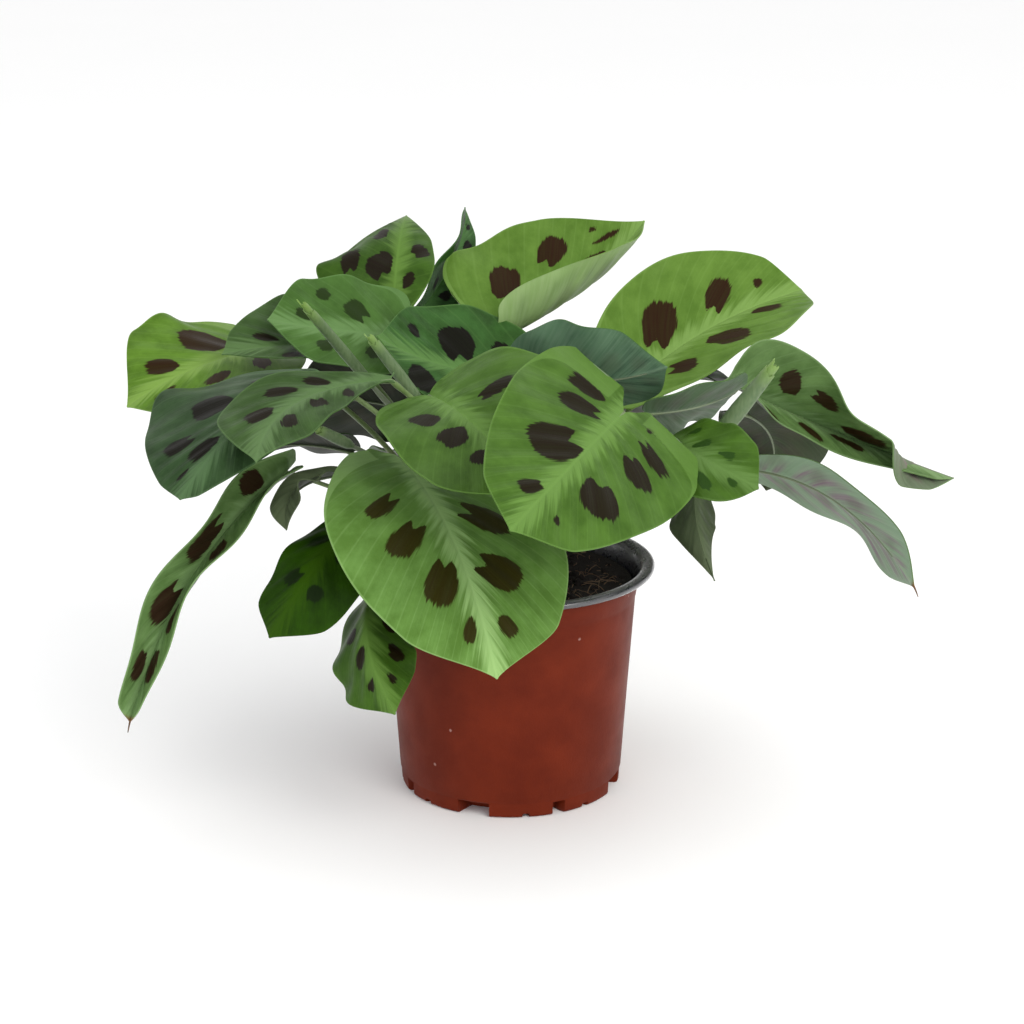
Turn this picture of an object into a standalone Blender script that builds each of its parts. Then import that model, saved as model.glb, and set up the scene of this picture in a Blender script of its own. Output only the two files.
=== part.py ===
"""Potted prayer plant: broad leaves on slender stalks, four leaves that are still rolled up, peat, and a
round plastic nursery pot.

Metres, +Z up. The origin is the middle of the pot's underside, on the surface that it stands on, and the
plant's fuller side faces -Y. Driving dimensions are in millimetres and angles in degrees; each mesh is
scaled to metres when it is made.
"""

import math
from dataclasses import dataclass

import bmesh
import bpy
import numpy as np

MM = 0.001
UP = np.array([0.0, 0.0, 1.0])
GAP = 0.35

# Pot: a thermoformed wall that follows its own drainage notches
RIM_RADIUS = 60.0
POT_HEIGHT = 96.7
BODY_TOP_RADIUS = 53.9
BODY_TOP_HEIGHT = 93.0
STEP_HEIGHT = 83.0
STEP_RADIUS = 52.2
BASE_RADIUS = 46.5
FOOT_RADIUS = 45.3
NOTCH_TOP = 6.0
WALL = 1.1
POT_SIDES = 48

# Drainage notches: first angle from -Y towards +X, width, depth towards the middle, height; every 90 degrees
NOTCHES = (
    (-19.5, 13.0, 9.0, 5.8),
    (25.5, 4.6, 6.0, 5.4),
    (8.0, 3.0, 3.0, 1.4),
    (42.0, 3.0, 3.0, 1.4),
)
DRAIN_HOLES = 6
DRAIN_HOLE_RADIUS = 3.5
DRAIN_HOLE_CIRCLE = 26.0

# Peat
PEAT_EDGE_HEIGHT = 85.0
PEAT_MIDDLE_HEIGHT = 88.0
PEAT_LOWER_RADIUS = 34.6
PEAT_BUMP = 0.5
HOLE_RADIUS = 1.9
HOLE_BOTTOM = 76.5
HOLE_SIDES = 6

# Stalks stand upright in their holes and start to lean at the crown
STALK_BOTTOM = 77.0
CROWN_HEIGHT = 89.0
STALK_RADIUS = 1.25
STALK_TIP_RADIUS = 0.85
STALK_END_RADIUS = 0.45
STALK_SIDES = 5
STALK_STEPS = 8
STALK_IN_BLADE = (0.0, 0.06, 0.15)
STALK_UNDER_BLADE = 0.25

# Blades
BLADE_THICKNESS = 0.7
EDGE_WAVES = 2.2
SMALL_BLADE = 47.0
LARGE_GRID = (8, 6)
SMALL_GRID = (7, 4)
ROLL_SIDES = 8


def unit(vector):
    return vector / np.linalg.norm(vector)


def smooth_step(share):
    share = np.clip(share, 0, 1)
    return share * share * (3 - 2 * share)


def bezier(controls, t):
    """Points of a cubic curve at parameters t."""
    t = np.asarray(t)[:, None]
    a, b, c, d = controls
    return (1 - t) ** 3 * a + 3 * (1 - t) ** 2 * t * b + 3 * (1 - t) * t ** 2 * c + t ** 3 * d


def bezier_direction(controls, t):
    """Unit directions of a cubic curve at parameters t."""
    t = np.asarray(t)[:, None]
    a, b, c, d = controls
    slope = (1 - t) ** 2 * (b - a) + 2 * (1 - t) * t * (c - b) + t ** 2 * (d - c)
    return slope / np.linalg.norm(slope, axis=1)[:, None]


@dataclass
class Leaf:
    """One leaf, grown as one piece with its stalk. Pairs of angles and lobes are for its left and its right half."""
    name: str
    root: tuple
    base: tuple
    tip: tuple
    width: float
    arch: float = 8.0
    sway: float = 0.0
    skew: float = 0.0
    roll: float = 0.0
    fold: tuple = (8.0, 8.0)
    fold_tip: tuple = None
    curl: tuple = (10.0, 10.0)
    curl_tip: tuple = None
    widest: float = 0.48
    fullness: float = 0.92
    lobe: tuple = (0.05, 0.05)
    taper: float = 0.2
    uneven: float = 0.0
    wave: float = 1.5
    flap: tuple = None
    lean: tuple = (0.0, 0.0)
    neck: float = 0.12
    rise: float = 0.10

    def __post_init__(self):
        self.base = np.array(self.base, float)
        self.tip = np.array(self.tip, float)
        self.fold_tip = self.fold_tip or self.fold
        self.curl_tip = self.curl_tip or self.curl
        chord = self.tip - self.base
        along = chord / np.linalg.norm(chord)
        level_up = unit(UP - (UP @ along) * along)
        level_side = np.cross(along, level_up)
        roll = math.radians(self.roll)
        self.up = level_up * math.cos(roll) + level_side * math.sin(roll)
        side = np.cross(along, self.up)
        push = side * self.sway * 4 / 3
        self.midrib = (self.base,
                       self.base + chord / 3 + self.up * self.arch * 4 / 3 * (1 - self.skew) + push,
                       self.base + chord * 2 / 3 + self.up * self.arch * 4 / 3 * (1 + self.skew) + push,
                       self.tip)
        self.samples = np.linspace(0, 1, 201)
        points = bezier(self.midrib, self.samples)
        travelled = np.cumsum(np.linalg.norm(np.diff(points, axis=0), axis=1))
        self.length = travelled[-1]
        self.shares = np.concatenate([[0.0], travelled]) / self.length

    def frame(self, share):
        """Midrib point, direction, upward normal and right-hand side at shares of the midrib's length."""
        inside = np.clip(share, 0, 1)
        t = np.interp(inside, self.shares, self.samples)
        direction = bezier_direction(self.midrib, t)
        point = bezier(self.midrib, t) + direction * ((share - inside) * self.length)[:, None]
        normal = self.up - (direction @ self.up)[:, None] * direction
        normal /= np.linalg.norm(normal, axis=1)[:, None]
        side = np.cross(direction, normal)
        return point, direction, normal, side

    def half_width(self, share, hand):
        """Half the blade's flat width on one hand: an oval that closes to a point over its taper."""
        power = math.log(0.5) / math.log(self.widest)
        oval = np.clip(share * 0.97, 0, 1) ** power
        body = np.sqrt(np.clip(1 - (2 * oval - 1) ** 2, 0, 1)) ** self.fullness
        close = 1 - (1 - np.clip((1 - share) / self.taper, 0, 1)) ** 2
        foot = 0.22 * (1 - np.clip(share / 0.05, 0, 1))
        return np.maximum(body * close, foot) * self.width / 2 * (1 + hand * self.uneven)

    def flat_grid(self, rows, columns):
        """The flat blade as rows of points (across, along) with round lobes beside the stalk."""
        even = np.linspace(0, 1, rows + 1)[:, None]
        share = (1 - np.cos(even * math.pi)) / 2 * 0.75 + even * 0.25
        column = np.linspace(-1, 1, columns + 1)[None, :]
        half = np.maximum(self.half_width(share, np.sign(column)), 0.25)
        back = np.where(column < 0, self.lobe[0], self.lobe[1]) * self.length * np.exp(-share / 0.10)
        corner = 1 - 0.45 * column ** 4 * np.clip(1 - share / 0.03, 0, 1)
        return column * half, share * self.length - back * np.abs(column) ** 1.4 * corner

    def place(self, across, along):
        """Bend the flat blade: each half folds at the midrib, curls as an arc and waves at its edge.

        A flap (start, end, angle) folds the left half further over towards the tip.
        """
        shape = across.shape
        across = across.ravel()
        share = along.ravel() / self.length
        point, _, normal, side = self.frame(share)
        inside = np.clip(share, 0, 1)
        reach = np.abs(across)
        full_half = self.width / 2
        placed = np.empty((len(across), 3))
        for hand, chosen in ((0, across < 0), (1, across >= 0)):
            s = inside[chosen]
            r = reach[chosen]
            fold = np.radians(self.fold[hand] + (self.fold_tip[hand] - self.fold[hand]) * s)
            if self.flap and hand == 0:
                start, end, angle = self.flap
                fold = fold + np.radians(angle) * smooth_step((s - start) / (end - start))
            bend = np.radians(self.curl[hand] + (self.curl_tip[hand] - self.curl[hand]) * s) / full_half
            bend = np.where(np.abs(bend) < 1e-6, 1e-6, bend)
            end = fold + bend * r
            out = (np.sin(end) - np.sin(fold)) / bend
            lift = (np.cos(fold) - np.cos(end)) / bend
            ripple = np.sin(2 * math.pi * (EDGE_WAVES * s + 0.37 * hand))
            ripple = self.wave * (r / full_half) ** 2 * ripple
            out = (out - ripple * np.sin(end)) * (1 if hand else -1)
            lift = lift + ripple * np.cos(end)
            placed[chosen] = point[chosen] + side[chosen] * out[:, None] + normal[chosen] * lift[:, None]
        return placed.reshape(shape + (3,))

    def stalk_path(self):
        """Up out of the peat, over to the blade from below, then a short way along under the midrib."""
        crown = np.array([*self.root, CROWN_HEIGHT])
        point, direction, normal, _ = self.frame(np.array(STALK_IN_BLADE))
        reach = np.linalg.norm(self.base - crown)
        rise = self.base[2] - crown[2]
        controls = (crown,
                    crown + np.array([*self.lean, 0.65 * rise]),
                    self.base - direction[0] * self.neck * reach - UP * self.rise * reach,
                    self.base)
        curve = bezier(controls, np.linspace(0, 1, STALK_STEPS + 1))
        foot = np.array([[*self.root, STALK_BOTTOM]])
        under = point[1:] - normal[1:] * STALK_UNDER_BLADE
        return np.concatenate([foot, curve, under])


@dataclass
class RolledLeaf:
    """A new leaf that is still rolled up: a slender stalk that widens into a straight roll."""
    name: str
    root: tuple
    foot: tuple
    tip: tuple
    foot_radius: float
    tip_radius: float

    def path_and_radii(self):
        crown = np.array([*self.root, CROWN_HEIGHT])
        foot = np.array(self.foot, float)
        tip = np.array(self.tip, float)
        direction = unit(tip - foot)
        reach = np.linalg.norm(foot - crown)
        controls = (crown, crown + UP * reach * 0.45, foot - direction * reach * 0.3, foot)
        curve = bezier(controls, np.linspace(0, 1, STALK_STEPS + 1))
        start = np.array([[*self.root, STALK_BOTTOM]])
        path = np.concatenate([start, curve, [(foot + tip) / 2, tip]])
        stalk = np.linspace(STALK_RADIUS, STALK_RADIUS * 1.1, STALK_STEPS)
        swelling = [self.foot_radius * 0.55, self.foot_radius]
        roll = [(self.foot_radius + self.tip_radius) / 2, self.tip_radius]
        return path, np.concatenate([stalk, swelling, roll])


LEAVES = (
    Leaf("leaf_front_large", root=(-20, -5), base=(-45, -16, 146), tip=(-5, -109, 85), width=96, arch=13,
         roll=-3, fold=(-4, -4), curl=(-8, -8), widest=0.43, fullness=1.26, lobe=(0.04, 0.15), taper=0.17,
         uneven=-0.02, wave=1),
    Leaf("leaf_front_right_large", root=(6, -10), base=(44, -56, 175), tip=(0, -152, 157), width=81, arch=3,
         roll=-36, fold=(0, 0), curl=(-10, 2), widest=0.22, fullness=1, lobe=(0.19, 0.23), taper=0.14,
         uneven=-0.02),
    Leaf("leaf_front_centre", root=(-12, -3), base=(-33, -14, 171), tip=(8, -86, 151), width=76,
         lean=(-4, 6), arch=9, sway=-1, roll=27, fold=(8, 14), curl=(-4, 10), widest=0.53, fullness=0.6,
         lobe=(0.08, 0.1), taper=0.22, uneven=-0.08),
    Leaf("leaf_middle_centre", root=(-4, 12), base=(13, 39, 165), tip=(-55, 13, 189), width=63, arch=-8,
         sway=1, roll=-37, fold=(4, 4), curl=(0, 0), widest=0.34, fullness=1.22, lobe=(0.04, 0.01),
         taper=0.28, uneven=0.1),
    Leaf("leaf_right_upper", root=(6, 13), base=(46, 35, 158), tip=(128, 90, 192), width=78, arch=3, sway=-5,
         roll=19, fold=(18, 18), fullness=1.16, lobe=(0.12, 0.12), taper=0.08, uneven=0.01),
    Leaf("leaf_back_half_rolled", root=(3, 18), base=(-8, 76, 173), tip=(60, 121, 217), width=85, arch=-6,
         sway=1, roll=-4, fold=(34, 3), fold_tip=(34, 5), curl=(0, 142), curl_tip=(0, 71), widest=0.23,
         fullness=0.84, lobe=(0.03, 0.05), taper=0.3, uneven=-0.22),
    Leaf("leaf_back_left_upright", root=(-19, 18), base=(-51, 68, 186), tip=(-47, 128, 218), width=59,
         arch=11, sway=1, roll=-3, fold=(-19, -32), curl=(-6, -10), widest=0.47, fullness=1.39,
         lobe=(0.05, 0.06), taper=0.26, uneven=-0.4),
    Leaf("leaf_middle_left", root=(-12, 12), base=(-41, 55, 180), tip=(-101, 26, 193), width=53, arch=0,
         sway=-2, roll=-37, fold=(4, 4), curl=(0, 0), widest=0.36, fullness=0.63, lobe=(0.05, 0.09),
         taper=0.29, uneven=0.11),
    Leaf("leaf_left_behind", root=(-24, 14), base=(-66, 64, 168), tip=(-119, 14, 181), width=52, arch=7,
         sway=-3, roll=-21, fold=(8, 12), curl=(0, 0), widest=0.24, fullness=1.55, taper=0.12, uneven=0.23),
    Leaf("leaf_far_left", root=(-29, 12), base=(-107, 70, 172), tip=(-160, 20, 157), width=72, arch=10,
         skew=0.3, sway=-7, roll=-17, fold=(4, 4), curl=(0, 0), widest=0.5, fullness=0.6, lobe=(0.05, 0.18),
         taper=0.32, uneven=0.07),
    Leaf("leaf_left_broad", root=(-21, 2), base=(-76, -6, 178), tip=(-127, -71, 144), width=83, arch=9,
         roll=-3, fold=(-8, -8), curl=(-4, -4), widest=0.39, fullness=1.76, lobe=(0.05, 0.1), taper=0.05,
         uneven=0.4),
    Leaf("leaf_left_centre", root=(-16, 8), base=(-48, -12, 177), tip=(-96, -82, 162), width=44, arch=3,
         sway=15, roll=-6, fold=(3, 3), curl=(0, 0), widest=0.55, fullness=1.8, lobe=(0, 0.05), taper=0.26,
         uneven=0.07),
    Leaf("leaf_left_drooping", root=(-34, 3), base=(-92, 3, 134), tip=(-150, -72, 53), width=32, arch=10,
         sway=7, roll=-26, fold=(50, 76), fold_tip=(53, 54), widest=0.32, fullness=0.72, lobe=(0.04, 0.06),
         taper=0.05, uneven=0.05, wave=2.5),
    Leaf("leaf_left_small_curled", root=(-28, -7), base=(-69, -18, 139), tip=(-89, -43, 123), width=19,
         arch=6, sway=7, roll=18, fold=(21, 25), curl=(0, 0), widest=0.45, fullness=0.9, taper=0.31,
         uneven=-0.19),
    Leaf("leaf_front_left_dark", root=(-23, -9), base=(-61, -35, 128), tip=(-93, -83, 92), width=44, arch=6,
         sway=-3, roll=-3, fold=(-10, -10), curl=(-5, -5), widest=0.46, taper=0.18, uneven=-0.08),
    Leaf("leaf_front_left_low", root=(-17, -16), base=(-55, -62, 102), tip=(-44, -100, 67), width=45,
         neck=0.25, rise=-0.05, arch=9, sway=4, roll=19, fold=(-30, -45), curl=(-10, -10), fullness=0.78,
         lobe=(0.05, 0.08), taper=0.27, uneven=0.12),
    Leaf("leaf_centre_turned_over", root=(2, 5), base=(4, 2, 174), tip=(62, -28, 186), width=50, arch=-2,
         sway=-3, roll=-56, curl=(0, 0), widest=0.39, fullness=1.12, lobe=(0.05, 0.09), taper=0.18,
         uneven=0.2),
    Leaf("leaf_right_turned_over", root=(9, 1), base=(54, -23, 166), tip=(96, -2, 173), width=37, arch=-5,
         sway=3, roll=-46, fold=(5, 5), curl=(0, 0), widest=0.43, fullness=0.85, taper=0.17, uneven=-0.23),
    Leaf("leaf_far_right", root=(14, 8), base=(89, 6, 172), tip=(186, 17, 127), width=45, arch=-18, sway=-27,
         roll=22, fold=(76, 12), fold_tip=(158, -14), curl=(0, 0), widest=0.25, fullness=1.11,
         lobe=(0, 0.05), taper=0.05, uneven=-0.25, flap=(0.79, 0.87, 62)),
    Leaf("leaf_right_drooping", root=(18, 3), base=(85, 5, 135), tip=(157, -70, 108), width=37, arch=11,
         sway=9, roll=-57, fold=(5, 14), curl=(0, 0), widest=0.65, fullness=1, lobe=(0.07, 0.06), taper=0.17,
         uneven=-0.22),
    Leaf("leaf_right_young", root=(12, -5), base=(64, -25, 156), tip=(96, -63, 146), width=37, sway=5,
         roll=30, fold=(5, 5), curl=(0, 0), widest=0.52, fullness=0.6, lobe=(0.04, 0.05), taper=0.21,
         uneven=-0.02),
    Leaf("leaf_right_behind", root=(18, 12), base=(99, 38, 150), tip=(113, 70, 106), width=50, arch=6,
         sway=7, roll=-8, fold=(20, 20), curl=(0, 0)),
    Leaf("leaf_right_narrow", root=(17, -6), base=(77, -10, 134), tip=(82, -38, 100), width=32, arch=13,
         sway=3, roll=18, fold=(-61, -49), curl=(0, 0), widest=0.3, fullness=1.53, lobe=(0.06, 0.05),
         taper=0.48, uneven=0.07, wave=0.5),
    Leaf("leaf_back_folded", root=(-14, 24), base=(-44, 111, 174), tip=(-21, 149, 218), width=31, arch=9,
         sway=-2, roll=84, fold=(29, 12), curl=(0, 0), widest=0.31, fullness=1.45, uneven=-0.09),
    Leaf("leaf_right_under", root=(10, 18), base=(62, 62, 156), tip=(99, 70, 153), width=36, arch=4),
    Leaf("leaf_left_under", root=(-34, 8), base=(-67, 30, 135), tip=(-108, 12, 141), width=44, arch=3,
         roll=25, fold=(4, 4), curl=(0, 0), curl_tip=(10, 10)),
    Leaf("leaf_rear_left", root=(-6, 27), base=(-27, 74, 120), tip=(-55, 128, 100), width=44, arch=4),
    Leaf("leaf_rear_right", root=(8, 25), base=(24, 52, 148), tip=(40, 122, 115), width=64, arch=10),
    Leaf("leaf_rear_far_right", root=(14, 24), base=(50, 48, 132), tip=(82, 106, 104), width=56, arch=10),
    Leaf("leaf_rear_far_left", root=(-21, 24), base=(-43, 84, 139), tip=(-97, 83, 145), width=60,
         lean=(-8, 4), arch=3, roll=56, fold=(4, 4), curl=(0, 0), curl_tip=(10, 10), widest=0.42),
    Leaf("leaf_rear_upper", root=(3, 23), base=(12, 66, 163), tip=(26, 124, 157), width=50, arch=6),
    Leaf("leaf_rear_low_right", root=(3, 32), base=(10, 45, 130), tip=(15, 110, 85), width=58),
    Leaf("leaf_rear_low_left", root=(-10, 32), base=(-30, 54, 104), tip=(-46, 106, 74), width=46),
)

ROLLED_LEAVES = (
    RolledLeaf("new_leaf_left_tall", root=(-17, 13), foot=(-57, 18, 166), tip=(-84, -14, 210),
               foot_radius=2.6, tip_radius=2.0),
    RolledLeaf("new_leaf_left_middle", root=(-8, 5), foot=(-37, 4, 163), tip=(-58, -4, 194),
               foot_radius=2.8, tip_radius=2.2),
    RolledLeaf("new_leaf_left_short", root=(-30, -2), foot=(-65, 2, 145), tip=(-80, -6, 155),
               foot_radius=2.6, tip_radius=2.2),
    RolledLeaf("new_leaf_right", root=(14, -1), foot=(82, -20, 154), tip=(105, -32, 189), foot_radius=4.2,
               tip_radius=2.8),
)

BRIGHT_LEAVES = ("leaf_front_large", "leaf_front_right_large", "leaf_back_half_rolled", "leaf_right_upper",
                 "leaf_far_left", "leaf_right_young", "leaf_back_left_upright")
DARK_LEAVES = ("leaf_front_left_dark", "leaf_left_under", "leaf_right_under", "leaf_right_behind")


def clear_scene():
    for thing in list(bpy.data.objects):
        bpy.data.objects.remove(thing)


def material(name, red, green, blue, roughness, metallic=0.0):
    """A Principled material that several objects may share."""
    made = bpy.data.materials.get(name)
    if made:
        return made
    made = bpy.data.materials.new(name)
    made.use_nodes = True
    shader = made.node_tree.nodes["Principled BSDF"]
    shader.inputs["Base Color"].default_value = (red, green, blue, 1)
    shader.inputs["Roughness"].default_value = roughness
    shader.inputs["Metallic"].default_value = metallic
    return made


def leaf_material(name):
    if name in BRIGHT_LEAVES:
        return material("bright leaf", 0.14, 0.28, 0.06, 0.45)
    if name in DARK_LEAVES:
        return material("dark leaf", 0.03, 0.08, 0.03, 0.5)
    return material("green leaf", 0.08, 0.18, 0.07, 0.5)


def add_object(name, points, faces, finish=None):
    """An object from points in millimetres and faces."""
    mesh = bpy.data.meshes.new(name)
    mesh.from_pydata([tuple(float(value) * MM for value in point) for point in points], [], faces)
    made = bpy.data.objects.new(name, mesh)
    bpy.context.scene.collection.objects.link(made)
    if finish:
        mesh.materials.append(finish)
    return made


def join(body, other, operation):
    """Union or difference of two closed objects, applied; the other object is removed."""
    boolean = body.modifiers.new(operation, "BOOLEAN")
    boolean.operation = operation
    boolean.object = other
    evaluated = body.evaluated_get(bpy.context.evaluated_depsgraph_get())
    mesh = bpy.data.meshes.new_from_object(evaluated)
    body.modifiers.clear()
    body.data = mesh
    bpy.data.objects.remove(other)


def smooth(thing, sharp_angle=40):
    thing.data.shade_smooth()
    thing.data.set_sharp_from_angle(angle=math.radians(sharp_angle))


def turned(name, profile, sides, finish=None):
    """A solid of revolution about Z from a profile of (radius, height) that starts and ends on the axis."""
    mesh = bpy.data.meshes.new(name)
    shape = bmesh.new()
    points = [shape.verts.new((radius * MM, 0, height * MM)) for radius, height in profile]
    edges = [shape.edges.new(pair) for pair in zip(points, points[1:])]
    bmesh.ops.spin(shape, geom=points + edges, cent=(0, 0, 0), axis=(0, 0, 1), angle=2 * math.pi,
                   steps=sides, use_merge=True)
    bmesh.ops.remove_doubles(shape, verts=shape.verts, dist=1e-6)
    bmesh.ops.recalc_face_normals(shape, faces=shape.faces)
    shape.to_mesh(mesh)
    shape.free()
    made = bpy.data.objects.new(name, mesh)
    bpy.context.scene.collection.objects.link(made)
    if finish:
        mesh.materials.append(finish)
    return made


def boxes(name, grow):
    """The drainage notches as one object of separate boxes, grown on every side by the given amount."""
    points = []
    faces = []
    outside = BASE_RADIUS + 10
    for first, width, depth, height in NOTCHES:
        for quarter in range(4):
            angle = math.radians(first + 90 * quarter)
            outward = np.array([math.sin(angle), -math.cos(angle), 0])
            sideways = np.array([math.cos(angle), math.sin(angle), 0])
            start = len(points)
            for z in (-5.0, height + grow):
                for radius, half in ((FOOT_RADIUS - depth - grow, -1), (outside, -1), (outside, 1),
                                     (FOOT_RADIUS - depth - grow, 1)):
                    points.append(outward * radius + sideways * half * (width / 2 + grow) + UP * z)
            faces += [[start + i for i in side] for side in
                      ((3, 2, 1, 0), (4, 5, 6, 7), (0, 1, 5, 4), (1, 2, 6, 5), (2, 3, 7, 6), (3, 0, 4, 7))]
    return add_object(name, points, faces)


def cylinders(name, places, radius, bottom, top, sides):
    """Upright cylinders at places (x, y), as one object."""
    points = []
    faces = []
    for x, y in places:
        start = len(points)
        for z in (bottom, top):
            for i in range(sides):
                turn = 2 * math.pi * i / sides
                points.append((x + radius * math.cos(turn), y + radius * math.sin(turn), z))
        faces.append([start + i for i in reversed(range(sides))])
        faces.append([start + sides + i for i in range(sides)])
        for i in range(sides):
            after = (i + 1) % sides
            faces.append([start + i, start + after, start + sides + after, start + sides + i])
    return add_object(name, points, faces)


def make_pot():
    """The outer form less the inner form, each cut by the notches, so that one thin wall is left."""
    outer = [(0, 0), (FOOT_RADIUS, 0), (46.2, 1.2), (BASE_RADIUS, NOTCH_TOP), (STEP_RADIUS, STEP_HEIGHT),
             (BODY_TOP_RADIUS, BODY_TOP_HEIGHT), (58.4, 93.6), (59.7, 94.3), (RIM_RADIUS, 95.4),
             (59.4, 96.4), (58.2, POT_HEIGHT), (0, POT_HEIGHT)]
    over = POT_HEIGHT + 2
    inner = [(0, WALL), (FOOT_RADIUS - 1.4, WALL), (BASE_RADIUS - WALL - 0.2, 2.2),
             (BASE_RADIUS - WALL, NOTCH_TOP), (STEP_RADIUS - WALL, STEP_HEIGHT),
             (BODY_TOP_RADIUS - WALL, BODY_TOP_HEIGHT), (53.6, 95.2), (54.8, POT_HEIGHT),
             (56.0, over), (0, over)]
    finish = material("brown plastic", 0.205, 0.036, 0.018, 0.42)
    pot = turned("pot", outer, POT_SIDES, finish)
    join(pot, boxes("notches", 0), "DIFFERENCE")
    inside = turned("inside", inner, POT_SIDES)
    join(inside, boxes("notch walls", WALL), "DIFFERENCE")
    join(pot, inside, "DIFFERENCE")
    turn = 2 * math.pi / DRAIN_HOLES
    places = [(DRAIN_HOLE_CIRCLE * math.cos(turn * i), DRAIN_HOLE_CIRCLE * math.sin(turn * i))
              for i in range(DRAIN_HOLES)]
    join(pot, cylinders("drain holes", places, DRAIN_HOLE_RADIUS, -5, WALL + 5, 10), "DIFFERENCE")
    smooth(pot)


def inner_radius(height):
    """Radius of the pot's inside at a height."""
    return float(np.interp(height, (NOTCH_TOP, STEP_HEIGHT, BODY_TOP_HEIGHT),
                           (BASE_RADIUS - WALL, STEP_RADIUS - WALL, BODY_TOP_RADIUS - WALL)))


def make_soil():
    """Peat that fills the pot above and between the notches, with a plain hole for each stalk."""
    step = NOTCH_TOP + WALL + GAP
    edge = inner_radius(PEAT_EDGE_HEIGHT) - GAP
    profile = [(0, WALL + GAP), (PEAT_LOWER_RADIUS, WALL + GAP), (PEAT_LOWER_RADIUS, step),
               (inner_radius(step) - GAP, step), (inner_radius(STEP_HEIGHT) - GAP, STEP_HEIGHT),
               (edge, PEAT_EDGE_HEIGHT), (edge * 0.93, PEAT_EDGE_HEIGHT + 1.3), (edge * 0.75, 87.2),
               (edge * 0.45, PEAT_MIDDLE_HEIGHT), (0, PEAT_MIDDLE_HEIGHT)]
    soil = turned("soil", profile, POT_SIDES, material("peat", 0.018, 0.012, 0.009, 0.95))
    for vertex in soil.data.vertices:
        x, y, z = vertex.co / MM
        if z > PEAT_EDGE_HEIGHT + 0.5:
            bump = math.sin(0.31 * x + 1.0) * math.cos(0.27 * y) + 0.6 * math.sin(0.53 * y + 0.41 * x)
            vertex.co.z += PEAT_BUMP * bump * MM
    roots = [leaf.root for leaf in LEAVES + ROLLED_LEAVES]
    holes = cylinders("stalk holes", roots, HOLE_RADIUS, HOLE_BOTTOM, PEAT_MIDDLE_HEIGHT + 5, HOLE_SIDES)
    join(soil, holes, "DIFFERENCE")
    smooth(soil, 60)


def tube(name, path, radii, sides, finish=None):
    """A closed round bar along a path, with a radius at each point."""
    directions = np.gradient(path, axis=0)
    directions /= np.linalg.norm(directions, axis=1)[:, None]
    across = unit(np.cross(directions[0], (0.3, 0.9, 0.1)))
    points = []
    for point, direction, radius in zip(path, directions, radii):
        across = unit(across - (across @ direction) * direction)
        other = np.cross(direction, across)
        for i in range(sides):
            turn = 2 * math.pi * i / sides
            points.append(point + radius * (math.cos(turn) * across + math.sin(turn) * other))
    faces = [[i for i in reversed(range(sides))]]
    for ring in range(len(path) - 1):
        for i in range(sides):
            low = ring * sides + i
            after = ring * sides + (i + 1) % sides
            faces.append([low, after, after + sides, low + sides])
    last = (len(path) - 1) * sides
    faces.append([last + i for i in range(sides)])
    return add_object(name, points, faces, finish)


def blade(leaf, finish):
    """The blade as one thin solid, split into triangles alike on both faces."""
    rows, columns = LARGE_GRID if leaf.width > SMALL_BLADE else SMALL_GRID
    middle = leaf.place(*leaf.flat_grid(rows, columns))
    normal = np.cross(np.gradient(middle, axis=1), np.gradient(middle, axis=0))
    normal /= np.linalg.norm(normal, axis=2)[:, :, None]
    upper = middle + normal * BLADE_THICKNESS / 2
    lower = middle - normal * BLADE_THICKNESS / 2
    points = np.concatenate([upper.reshape(-1, 3), lower.reshape(-1, 3)])
    count = (rows + 1) * (columns + 1)
    index = np.arange(count).reshape(rows + 1, columns + 1)
    faces = []
    for row in range(rows):
        for column in range(columns):
            a, b = int(index[row, column]), int(index[row, column + 1])
            d, c = int(index[row + 1, column]), int(index[row + 1, column + 1])
            faces += [[a, b, c], [a, c, d]]
            faces += [[count + a, count + c, count + b], [count + a, count + d, count + c]]
    ring = [*index[0, :], *index[1:, -1], *index[-1, -2::-1], *index[-2:0:-1, 0]]
    ring = [int(i) for i in ring]
    for a, b in zip(ring, ring[1:] + ring[:1]):
        faces += [[a, count + a, count + b], [a, count + b, b]]
    return add_object(leaf.name, points, faces, finish)


def make_leaf(leaf):
    """One leaf: its blade joined with its stalk, which tapers out under the midrib."""
    finish = leaf_material(leaf.name)
    made = blade(leaf, finish)
    path = leaf.stalk_path()
    in_blade = len(STALK_IN_BLADE) - 1
    radii = np.concatenate([np.linspace(STALK_RADIUS, STALK_TIP_RADIUS, len(path) - in_blade),
                            np.linspace(STALK_TIP_RADIUS, STALK_END_RADIUS, in_blade + 1)[1:]])
    join(made, tube("stalk", path, radii, STALK_SIDES, finish), "UNION")
    smooth(made)


def make_rolled_leaf(leaf):
    path, radii = leaf.path_and_radii()
    smooth(tube(leaf.name, path, radii, ROLL_SIDES, material("young leaf", 0.22, 0.34, 0.12, 0.45)))


def main():
    clear_scene()
    make_pot()
    make_soil()
    for leaf in LEAVES:
        make_leaf(leaf)
    for leaf in ROLLED_LEAVES:
        make_rolled_leaf(leaf)


main()
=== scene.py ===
"""Looks of a potted prayer plant: patterned leaves on slender stalks, new leaves that are still rolled
up, peat, and a round thermoformed nursery pot.

Laid out as a Blender add-on with one operator for each kind of piece. Shapes are worked out in
millimetres and meshes are in metres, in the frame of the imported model.
"""

import math
from contextlib import contextmanager
from dataclasses import dataclass

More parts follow.
